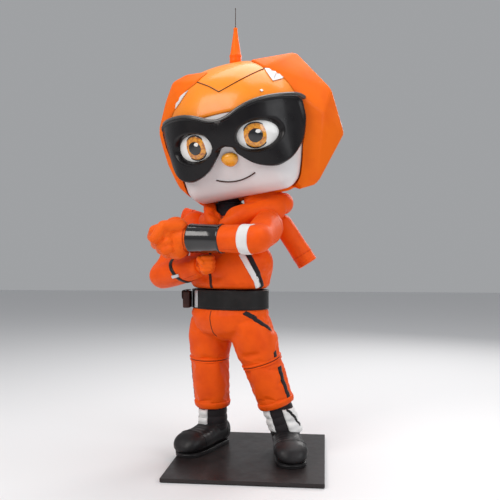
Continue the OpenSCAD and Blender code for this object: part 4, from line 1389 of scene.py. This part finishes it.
def build_skull():
    """White face shell, closed all round, and the orange dome over its top."""
    rings = skull_grid(150, 200, 0.0, -0.93, 0.9995)
    neck = rings[-1] * [0.97, 0.97, 1] + [0, 0, 0.010]
    shell = loft("face_shell_smooth", np.concatenate([rings, [neck]]), FACE_WHITE, caps=False)
    head_object(shell, ["face_shell"])
    inverse = np.array(DOME_TILT.inverted())[:3, :3]
    outer = []
    for a in np.linspace(0, 2 * math.pi, 220, endpoint=False):
        column = []
        for e in np.linspace(math.pi / 2 - 0.004, -0.9, 150):
            d = Vector((math.cos(e) * math.cos(a), math.cos(e) * math.sin(a), math.sin(e)))
            at, normal, _, _ = SKULL_TREE.ray_cast(Vector((0, 0, -0.02)), DOME_TILT.to_3x3() @ d)
            if (inverse @ np.array(at))[2] < DOME_EDGE:
                break
            column.append((at, normal))
        line = np.array([c[0] for c in column])
        lean = np.array([c[1] for c in column])
        at = np.linspace(0, 1, 96)
        s = np.linspace(0, 1, len(line))
        line = np.stack([np.interp(at, s, line[:, k]) for k in range(3)], 1)
        lean = np.stack([np.interp(at, s, lean[:, k]) for k in range(3)], 1)
        edge = np.clip((1 - at) / 0.02, 0, 1)
        outer.append(line + lean * (0.002 + 0.004 * np.sqrt(edge))[:, None])
    outer = np.array(outer).transpose(1, 0, 2)
    tucked = outer[-1] * 0.985
    dome = loft("brow_dome_smooth", np.concatenate([outer, [tucked]]), DOME_ORANGE, caps=True)
    head_object(dome, ["brow_dome"])


def build_rim():
    """The orange back of the head, standing a little proud of the white face."""
    rim = loft("head_back_smooth", skull_grid(150, 200, 0.0050, -0.93, 0.9995), HEAD_ORANGE, caps=False)
    bm = bmesh.new()
    bm.from_mesh(rim.data)
    bmesh.ops.bisect_plane(bm, geom=[*bm.verts, *bm.edges, *bm.faces], plane_co=(0, -0.030, 0),
                           plane_no=(0, 1, 0),
                           clear_inner=True)
    bm.to_mesh(rim.data)
    bm.free()
    modify(rim, "SOLIDIFY", thickness=0.0046, offset=-1)
    with_modifiers(rim)
    rim.data.shade_smooth()
    head_object(rim, ["head_back"])
    # its rolled front edge shows under the chin and the cheeks
    line = []
    for a in np.linspace(math.radians(188), math.radians(352), 120):
        at, normal, _, _ = SKULL_TREE.ray_cast(Vector((0, -0.036, -0.02)),
                                               Vector((math.cos(a), 0, math.sin(a))))
        line.append(at + normal * (0.003 + 0.017 * math.exp(-(((math.degrees(a) - 232) / 26) ** 2))))
    edge = cord_mesh("head_back_edge", np.array(line), 0.0135, HEAD_ORANGE, 18)
    head_object(edge)


def draw_on_dome(name, corners, radius, material, count=50):
    bead = cord_mesh(name, on_face(spline(corners, count), 0.006), radius, material, 8, flat=0.6)
    head_object(bead)


# How far the painted patches stand off the skull, and how thick they are
PATCH_LIFT = 0.0094
PATCH_THICK = 0.0030


def dome_patch(name, corners, material):
    """A flat patch of paint with straight edges, laid on the dome."""
    bm = bmesh.new()
    bm.faces.new([bm.verts.new((x, 0, z)) for x, z in corners])
    bmesh.ops.triangulate(bm, faces=bm.faces[:])
    for _ in range(4):
        bmesh.ops.subdivide_edges(bm, edges=bm.edges[:], cuts=1)
    for v, at in zip(bm.verts, on_face([(v.co.x, v.co.z) for v in bm.verts], PATCH_LIFT)):
        v.co = Vector(at)
    mesh = bpy.data.meshes.new(name)
    bm.to_mesh(mesh)
    bm.free()
    mesh.materials.append(material)
    obj = bpy.data.objects.new(name, mesh)
    bpy.context.scene.collection.objects.link(obj)
    fix_normals(obj)
    modify(obj, "SOLIDIFY", thickness=PATCH_THICK, offset=0)
    with_modifiers(obj)
    head_object(obj)


# Half of the mask's outline, on the figure's left, from the top of the nose bridge round to its underside
MASK_EDGE = [(0.0, 0.057), (0.042, 0.065), (0.088, 0.086), (0.142, 0.102), (0.200, 0.107), (0.257, 0.104),
             (0.290, 0.097),
             (0.304, 0.084), (0.308, 0.066), (0.306, 0.004), (0.295, -0.057), (0.276, -0.109),
             (0.248, -0.150),
             (0.216, -0.168), (0.184, -0.172), (0.138, -0.158), (0.098, -0.136), (0.068, -0.109),
             (0.040, -0.076),
             (0.020, -0.052), (0.0, -0.046)]
# The same edge brought down to the face, since the mask stands off it
MASK_HALF = [(x if x < 0.042 else 0.042 + (x - 0.042) * 0.956,
              0.030 + (z - 0.030) * (0.965 if x > 0.05 else 1))
             for x, z in MASK_EDGE]
EYE_AT = (0.134, -0.028)
EYE_SIZE = (0.080, 0.055)
MASK_LIFT = 0.033


def mask_profile(s, outer_lip):
    """Height of the mask over the face against s, 0 at the eye's edge and 1 at the outline."""
    inner = np.clip(s / 0.16, 0, 1)
    outer = np.clip((1 - s) / 0.14, 0, 1)
    rise = np.sin(inner * math.pi / 2) ** 0.8
    fall = np.sin(outer * math.pi / 2) ** 0.7
    lip = outer_lip * np.exp(-(((s - 0.86) / 0.05) ** 2))
    return rise * fall + lip


def build_mask():
    """Plain eye mask: one piece round both openings, bevelled, with a raised rim along its top edge."""
    columns = 140
    outline = np.vstack([spline(MASK_HALF, 120), [(0.0, z) for z in np.linspace(-0.046, 0.057, 22)[1:-1]]])
    centre = np.array(EYE_AT)
    angles = np.linspace(0, 2 * math.pi, columns, endpoint=False)
    turn = np.arctan2(outline[:, 1] - centre[1], outline[:, 0] - centre[0])
    order = np.argsort(turn)
    reach = np.linalg.norm(outline - centre, axis=1)
    turn_w = np.concatenate([turn[order] - 2 * math.pi, turn[order], turn[order] + 2 * math.pi])
    reach_w = np.tile(reach[order], 3)
    wrapped = (angles + math.pi) % (2 * math.pi) - math.pi
    far = np.interp(wrapped, turn_w, reach_w)
    ray = np.stack([np.cos(angles), np.sin(angles)], 1)
    near = 1 / np.sqrt((ray[:, 0] / EYE_SIZE[0]) ** 2 + (ray[:, 1] / EYE_SIZE[1]) ** 2)
    steps = np.concatenate([np.linspace(0, 0.16, 12), np.linspace(0.16, 0.72, 12)[1:],
                            np.linspace(0.72, 1, 22)[1:]])
    grid = np.zeros((len(steps), columns, 2))
    for i, s in enumerate(steps):
        grid[i] = centre + ray * (near + (far - near) * s)[:, None]
    on_middle = grid[-1, :, 0] < 0.0015
    grid[-1, on_middle, 0] = 0.0
    flat = grid.reshape(-1, 2)
    base = on_face(flat, 0.0)
    tops = np.zeros(len(flat))
    for i, s in enumerate(steps):
        for j in range(columns):
            x, z = grid[i, j]
            # towards the middle line the outline's edge fades, so both halves join level
            to_middle = smooth((0.05 - grid[-1, j, 0]) / 0.03) if on_middle[j] else 0.0
            upper = smooth((ray[j, 1] + 0.1) / 0.4)
            height = mask_profile(np.array(s), 0.34 * upper * (1 - to_middle))
            inner = np.sin(min(1, s / 0.16) * math.pi / 2) ** 0.8
            tops[i * columns + j] = (1 - to_middle) * height + to_middle * inner
    # over the nose bridge the edges above and below still fall away
    z_top, z_low = 0.057, -0.046
    near_middle = smooth((0.05 - flat[:, 0]) / 0.03)
    edge = np.minimum(z_top + 0.3 * flat[:, 0] - flat[:, 1], flat[:, 1] - z_low + 0.3 * flat[:, 0])
    tops *= 1 - near_middle * (1 - np.sin(np.clip(edge / 0.012, 0, 1) * math.pi / 2) ** 0.7)
    normal = on_face(flat, 1.0) - base
    front = base + normal * (0.0062 + (MASK_LIFT - 0.008) * tops)[:, None]
    back = base + normal * 0.0005
    count = len(flat)
    points, faces = [], []
    for sign in (1, -1):
        at = len(points)
        points += list(front * [sign, 1, 1]) + list(back * [sign, 1, 1])
        faces += [tuple(at + i for i in f) for f in grid_faces(len(steps), columns)]
        last = (len(steps) - 1) * columns
        faces += [(at + j, at + (j + 1) % columns, at + count + (j + 1) % columns,
                   at + count + j) for j in range(columns)]
        for j in range(columns):
            k = (j + 1) % columns
            if not (on_middle[j] and on_middle[k]):
                faces.append((at + last + j, at + last + k, at + count + last + k, at + count + last + j))
    mask = mesh_object("mask_smooth", points, faces, MASK_BLACK)
    bm = bmesh.new()
    bm.from_mesh(mask.data)
    bmesh.ops.remove_doubles(bm, verts=[v for v in bm.verts if abs(v.co.x) < 0.002], dist=0.0025)
    bmesh.ops.recalc_face_normals(bm, faces=bm.faces)
    bm.to_mesh(mask.data)
    bm.free()
    mask.data.shade_smooth()
    head_object(mask, ["mask"])
    # the raised rim along the top edge, lighter grey than the mask: a painted highlight of light from above
    # on its top bevel
    top = [(x, z - 0.004) for x, z in MASK_HALF[:8]]
    line = spline([*[(-x, z) for x, z in top[:0:-1]], *top], 120)
    rim = cord_mesh("mask_top_rim_highlight", on_face(line, MASK_LIFT - 0.007), 0.0100, MASK_RIM_HIGHLIGHT, 16)
    head_object(rim)


def eye_disc(name, sign, at, size, lift, bulge, material, rows=26, columns=72):
    """An oval lens on the face, sign 1 or -1 for its side; bulge is how far its middle stands out."""
    points = []
    angles = np.linspace(0, 2 * math.pi, columns, endpoint=False)
    for s in np.linspace(1, 0.02, rows):
        ring = np.stack([at[0] + size[0] * s * np.cos(angles), at[1] + size[1] * s * np.sin(angles)], 1)
        base = on_face(ring, lift)
        base[:, 1] -= bulge * (1 - s**2) ** 0.9
        points.append(base)
    rings = np.array(points) * [sign, 1, 1]
    back = on_face(np.stack([at[0] + size[0] * np.cos(angles), at[1] + size[1] * np.sin(angles)], 1),
                   0.001) * [sign, 1, 1]
    return loft(name, np.concatenate([[back], rings]), material)


def build_eyes():
    for side, sign in SIDES.items():
        white = eye_disc(f"eye_{side}_white", sign, EYE_AT, (EYE_SIZE[0] + 0.003, EYE_SIZE[1] + 0.003),
                         0.004, 0.010, EYE_WHITE)
        head_object(white, [f"eye_{side}"])
        centre = (EYE_AT[0] - 0.006, EYE_AT[1])
        iris = eye_disc(f"eye_{side}_iris", sign, centre, (0.049, 0.049), 0.0085, 0.0095, IRIS)
        head_object(iris)
        ring = eye_disc(f"eye_{side}_rim", sign, centre, (0.052, 0.052), 0.0080, 0.0070, PUPIL)
        head_object(ring)
        pupil = eye_disc(f"eye_{side}_pupil", sign, centre, (0.027, 0.027), 0.0155, 0.0045, PUPIL)
        head_object(pupil)
        glint_at = (centre[0] + 0.012 * sign, centre[1] + 0.014)
        glint = eye_disc(f"eye_{side}_glint", sign, glint_at, (0.0095, 0.0075), 0.0185, 0.0022, EYE_WHITE)
        head_object(glint)


def build_nose_and_mouth():
    """A small rounded nose under the mask's bridge, and a calm, even mouth line."""
    rings = []
    columns = 48
    angles = np.linspace(0, 2 * math.pi, columns, endpoint=False)
    x = 0.036 * np.cos(angles) * (1 + 0.16 * np.sin(angles))
    z = -0.104 + 0.030 * np.sin(angles)
    for s in np.linspace(1, 0.03, 22):
        base = on_face(np.stack([x * s, -0.104 + (z + 0.104) * s], 1), 0.0)
        base[:, 1] -= 0.003 + 0.026 * (1 - s**2.2) ** 0.6
        rings.append(base)
    nose = loft("nose_smooth", np.array(rings), NOSE_GOLD)
    head_object(nose, ["nose"])
    t = np.linspace(-1, 1, 70)
    line = on_face(np.stack([0.086 * t, -0.196 + 0.020 * t**2], 1), 0.0012)
    taper = np.sqrt(np.clip(1 - t**2, 0, 1)) * 0.0028 + 0.0012
    mouth = cord_mesh("mouth_line", line, 0.0032, LINE_DARK, 12, flat=0.9)
    head_object(mouth, ["mouth"])
    return taper


COWL_FRONT = {
    "left": [(128, -48, 284), (302, 62, 283), (424, 60, 98), (440, 80, -98), (308, -68, -282),
             (225, -98, -288),
             (385, -30, 0), (190, -90, 238), (236, -50, 224), (296, 5, 128), (314, -20, 58),
             (308, -55, -60),
             (268, -84, -240)],
    "right": [(-45, -110, 272), (-95, -156, 240), (-190, -172, 166), (-250, -138, 124), (-163, -60, 288),
              (-224, -82, 268), (-272, -97, 190), (-336, -98, 72), (-328, -90, -70), (-292, -116, -178),
              (-250, -116, -232), (-200, -104, -274), (-150, -92, -286)],
}
COWL_BACK = [(8, 200, 262), (250, 290, 140), (300, 290, -130), (8, 330, 20), (8, 250, -215),
             (120, 240, -232),
             (262, 120, 276)]


def mask_tool():
    """The room the mask takes up, a little larger than the mask."""
    edge = [(x + 0.003, z + math.copysign(0.003, z)) for x, z in MASK_EDGE]
    outline = np.array([*edge, *[(-x, z) for x, z in edge[-2:0:-1]]])
    prism = loft("mask_prism", [np.column_stack([outline[:, 0], np.full(len(outline), y),
                                                 outline[:, 1]]) for y in (-0.45, 0.05)],
                 MASK_BLACK)
    skull = loft("mask_room", skull_grid(90, 128, 0.036, -0.9995, 0.9995), MASK_BLACK)
    modify(prism, "BOOLEAN", operation="INTERSECT", object=skull, solver="EXACT")
    with_modifiers(prism)
    bpy.data.objects.remove(skull)
    return prism


def build_cowl(side, sign):
    """Half of the faceted hood of foam sheet: flat panels with softened edges, open to the face."""
    bm = bmesh.new()
    for x, y, z in [*COWL_FRONT[side], *[(x * sign, y, z) for x, y, z in COWL_BACK]]:
        bm.verts.new(Vector((x, y, z)) / 1000)
    bmesh.ops.convex_hull(bm, input=bm.verts[:])
    bmesh.ops.dissolve_limit(bm, angle_limit=math.radians(3), verts=bm.verts[:], edges=bm.edges[:])
    bmesh.ops.recalc_face_normals(bm, faces=bm.faces)
    bmesh.ops.bevel(bm, geom=bm.edges[:], offset=0.010, segments=4, profile=0.5, affect="EDGES",
                    clamp_overlap=True)
    mesh = bpy.data.meshes.new(f"cowl_{side}_panels")
    bm.to_mesh(mesh)
    bm.free()
    mesh.materials.append(HEAD_ORANGE)
    obj = bpy.data.objects.new(f"cowl_{side}_panels", mesh)
    bpy.context.scene.collection.objects.link(obj)
    tool_points = skull_grid(90, 128, 0.0078, -0.9995, 0.9995)
    tool = loft("cowl_tool", tool_points, HEAD_ORANGE)
    modify(obj, "BOOLEAN", operation="DIFFERENCE", object=tool, solver="EXACT")
    with_modifiers(obj)
    room = mask_tool()
    modify(obj, "BOOLEAN", operation="DIFFERENCE", object=room, solver="EXACT")
    with_modifiers(obj)
    inverse = HEAD.inverted()
    axis = JOINTS["neck_turn"]
    well = loft("cowl_well", [moved(r, inverse) for r in tube_grid(Vector((axis.x, axis.y, 0.95)),
                                                                   Vector((axis.x, axis.y, 1.25)),
                                                                   [(0, 0.114), (0.3, 0.114)], 64)],
                HEAD_ORANGE)
    modify(obj, "BOOLEAN", operation="DIFFERENCE", object=well, solver="EXACT")
    with_modifiers(obj)
    for helper in (tool, room, well):
        bpy.data.objects.remove(helper)
    for polygon in obj.data.polygons:
        polygon.use_smooth = True
    mark_sharp(obj, 30)
    head_object(obj, [f"cowl_{side}"])
    return obj


def mark_sharp(obj, degrees):
    bm = bmesh.new()
    bm.from_mesh(obj.data)
    for e in bm.edges:
        e.smooth = len(e.link_faces) == 2 and e.calc_face_angle(0) < math.radians(degrees)
    bm.to_mesh(obj.data)
    bm.free()


def build_spike():
    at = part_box("spike")
    x, y = (at[0].x + at[1].x) / 2, (at[0].y + at[1].y) / 2
    top = at[1].z
    low = at[0].z
    keys = [(low + 0.002, 0.0262), (low + 0.03, 0.0258), (1.758, 0.0252), (1.762, 0.0268), (1.768, 0.0268),
            (1.772, 0.0240),
            (1.80, 0.0196), (1.84, 0.0136), (1.87, 0.0094), (1.880, 0.0084), (1.884, 0.0096),
            (1.8885, 0.0092), (top, 0.0060)]
    spike = loft("spike_turned", tube_grid(Vector((x, y, 0)), Vector((x, y, 1)), keys, 64), HEAD_ORANGE)
    belongs(spike, "head", ["spike"])
    wire_low, wire_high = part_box("aerial")
    keys = [(wire_low.z - 0.004, 0.0040), (wire_low.z + 0.003, 0.0036), (wire_low.z + 0.006, 0.0018),
            (wire_high.z - 0.006, 0.0014),
            (wire_high.z - 0.005, 0.0024), (wire_high.z - 0.001, 0.0024), (wire_high.z, 0.0010)]
    aerial = loft("aerial_wire", tube_grid(Vector((x, y, 0)), Vector((x, y, 1)), keys, 24), AERIAL)
    belongs(aerial, "head", ["aerial"])


def build_head():
    build_skull()
    build_rim()
    draw_on_dome("dome_line_right", [(-0.095, 0.233), (-0.083, 0.228), (-0.032, 0.200), (0.012, 0.168)],
                 0.0034, LINE_DARK)
    draw_on_dome("dome_line_left", [(0.012, 0.168), (0.054, 0.181), (0.132, 0.207), (0.189, 0.228)], 0.0034,
                 LINE_DARK)
    dome_patch("dome_patch_left", [(0.184, 0.224), (0.222, 0.214), (0.252, 0.188), (0.243, 0.171),
                                   (0.216, 0.166)], FACE_WHITE)
    dome_patch("dome_patch_right", [(-0.130, 0.204), (-0.166, 0.192), (-0.196, 0.169), (-0.199, 0.146),
                                    (-0.176, 0.162),
                                    (-0.148, 0.188)], FACE_WHITE)
    build_mask()
    build_eyes()
    build_nose_and_mouth()
    for side, sign in SIDES.items():
        build_cowl(side, sign)
    build_spike()


# ---------------------------------------------------------------- build everything


def trim_trousers(trousers, shins):
    subdivide(trousers)
    belongs(trousers, "stand", ["pelvis", "thigh_left", "thigh_right"])
    tree = surface(trousers)
    front = np.array(TRUNK.to_3x3() @ Vector((0, -1, 0)))
    for side in SIDES:
        shin = shins[side]
        subdivide(shin)
        belongs(shin, "stand", [f"shin_{side}"])
        low_tree = surface(shin)
        a, b = leg_at(side, HEM_Z[side]), leg_at(side, 0.6)
        along = (b - a).normalized()
        knee = tube_grid(leg_at(side, KNEE_Z), leg_at(side, KNEE_Z) + along * 0.01, [(0, 0.0845)], 120)[0]
        for name, shift, radius in (("upper", 0.007, 0.0062), ("lower", -0.006, 0.0046)):
            bead = cord_mesh(f"knee_piping_{name}_{side}", knee + np.array(along) * shift, radius, ORANGE,
                             12, closed=True)
            belongs(bead, "stand")
        # a dark line in the gap between the two piping beads: painted shade in the groove
        groove = cord_mesh(f"knee_groove_shade_{side}", knee, 0.0020, LINE_DARK, 8, closed=True)
        belongs(groove, "stand")
        rings = []
        for z, lift in ((0.000, 0.0004), (0.001, 0.0036), (0.005, 0.0052), (0.014, 0.0058), (0.023, 0.0050),
                        (0.028, 0.0030),
                        (0.029, 0.0003)):
            at = leg_at(side, HEM_Z[side] + z)
            rings.append(laid(low_tree, tube_grid(at, at + along * 0.01, [(0, 0.085)], 120)[0], lift))
        hem = loft(f"hem_band_{side}", np.array(rings), ORANGE, caps=False)
        belongs(hem, "stand")
        build_leg_stripe(side, tree, low_tree)
    # front seam from the belt to the crotch
    zs = np.linspace(BELT_LOW - 0.004, 0.535, 40)
    line = cast(tree, moved(np.stack([0 * zs, 0 * zs - 0.4, zs], 1), TRUNK), -front, 0.0004)
    belongs(cord_mesh("fly_seam", line, 0.0016, LINE_DARK, 8), "stand")


def outer_line(side, tree, low, high, turn, count=60):
    """A line down the leg's outside on a surface, at an angle from the trunk's front."""
    out = []
    for z in np.linspace(low, high, count):
        axis = leg_at(side, z)
        d = Vector((math.sin(turn), -math.cos(turn), 0))
        out.append(axis + d * 0.11)
    return laid(tree, out, 0)


def build_leg_stripe(side, tree, low_tree):
    turn = {"left": math.radians(55), "right": math.radians(-96)}[side]
    outward = np.array([math.sin(turn), -math.cos(turn), 0])
    low = outer_line(side, low_tree, HEM_Z[side] + 0.034, KNEE_Z - 0.010, turn)
    high = outer_line(side, tree, KNEE_Z + 0.010, KNEE_Z + {"left": 0.052, "right": 0.098}[side], turn)
    for name, path, on in (("lower", low, low_tree), ("upper", high, tree)):
        band = ribbon(f"leg_stripe_{name}_{side}", on, path, 0.020, outward, TRIM_BLACK)
        belongs(band, "stand", ["leg_stripes"] if (side, name) == ("left", "lower") else ())
    if side == "left":
        t = np.linspace(0, 1, 50)
        a = np.radians(49 + 50 * t)
        flat = np.stack([0.20 * np.sin(a), -0.14 * np.cos(a), 0.648 - 0.090 * t], 1)
        path = laid(tree, moved(flat, TRUNK), 0)
        band = ribbon("pocket_stripe", tree, path, 0.020, np.array(TRUNK.to_3x3() @ Vector((0.8, -0.6, 0))),
                      TRIM_BLACK)
        belongs(band, "stand")


def paint_frame():
    """The hidden steel and the mat keep their CAD shapes and get their own finishes."""
    paints = {"base_mat": MAT, "base_screws": STEEL, "nod_pin": STEEL}
    paints.update({n: FRAME_PAINT for n in ("leg_frame_left", "leg_frame_right", "hip_frame", "torso_post",
                                            "neck_yoke",
                                            "head_frame")})
    for name, material in paints.items():
        mesh = frame["nodes"][name].data
        mesh.materials.clear()
        mesh.materials.append(material)


def build():
    paint_frame()
    build_base()
    build_boots()
    trousers, shins = build_trousers()
    jacket = build_jacket()
    hood = build_hood()
    tails = build_sleeve_tails()
    sleeves = {side: build_sleeve(side) for side in SIDES}
    run_cloth()
    trim_trousers(trousers, shins)
    build_belt()
    build_pouch()
    trim_jacket(jacket)
    build_collar()
    subdivide(hood)
    belongs(hood, "torso", ["hood"])
    trim_sleeve_tails(tails)
    trees = {side: trim_sleeve(side, sleeves[side]) for side in SIDES}
    build_cuffs(trees)
    for side in SIDES:
        build_hand(side, trees)
    build_head()


build()

# ---------------------------------------------------------------- studio


# Camera: lens in millimetres, place in metres, turn about the vertical in degrees
LENS = 49.2
CAMERA_AT = (0.321, -2.969, 0.883)
CAMERA_TURN = 6.27
CAMERA_SHIFT = 0.012
SKY = 0.38
LIGHTS_AIM = (-0.05, 0, 1.0)


def build_studio():
    scene = bpy.context.scene
    floor = mesh_object("floor", [(-14, -10, 0), (14, -10, 0), (14, 14, 0), (-14, 14, 0)], [(0, 1, 2, 3)],
                        Nodes("floor_pale", (0.78, 0.78, 0.79), 0.55).material, flat=True)
    world = bpy.data.worlds.new("studio")
    world.use_nodes = True
    world.node_tree.nodes["Background"].inputs[0].default_value = (0.92, 0.94, 0.97, 1)
    world.node_tree.nodes["Background"].inputs[1].default_value = SKY
    scene.world = world
    for name, place, size, power, colour in (
            ("key", (-2.4, -3.2, 3.6), 2.6, 118, (1.0, 0.97, 0.94)),
            ("fill", (3.4, -2.6, 2.4), 2.4, 52, (0.96, 0.98, 1.0)),
            ("top", (0.4, 0.4, 4.2), 3.0, 100, (1.0, 1.0, 1.0)),
            ("rim", (1.6, 3.4, 2.8), 1.8, 60, (1.0, 0.98, 0.96))):
        light = bpy.data.lights.new(name, "AREA")
        light.size, light.energy, light.color = size, power, colour
        obj = bpy.data.objects.new(name, light)
        obj.location = place
        obj.rotation_euler = (Vector(LIGHTS_AIM) - Vector(place)).to_track_quat("-Z", "Y").to_euler()
        scene.collection.objects.link(obj)
    camera = bpy.data.cameras.new("camera")
    camera.lens, camera.sensor_width, camera.shift_y = LENS, 36, CAMERA_SHIFT
    obj = bpy.data.objects.new("camera", camera)
    obj.location = CAMERA_AT
    obj.rotation_euler = (math.radians(90), 0, math.radians(CAMERA_TURN))
    scene.collection.objects.link(obj)
    scene.camera = obj
    scene.view_settings.view_transform = "Standard"


build_studio()
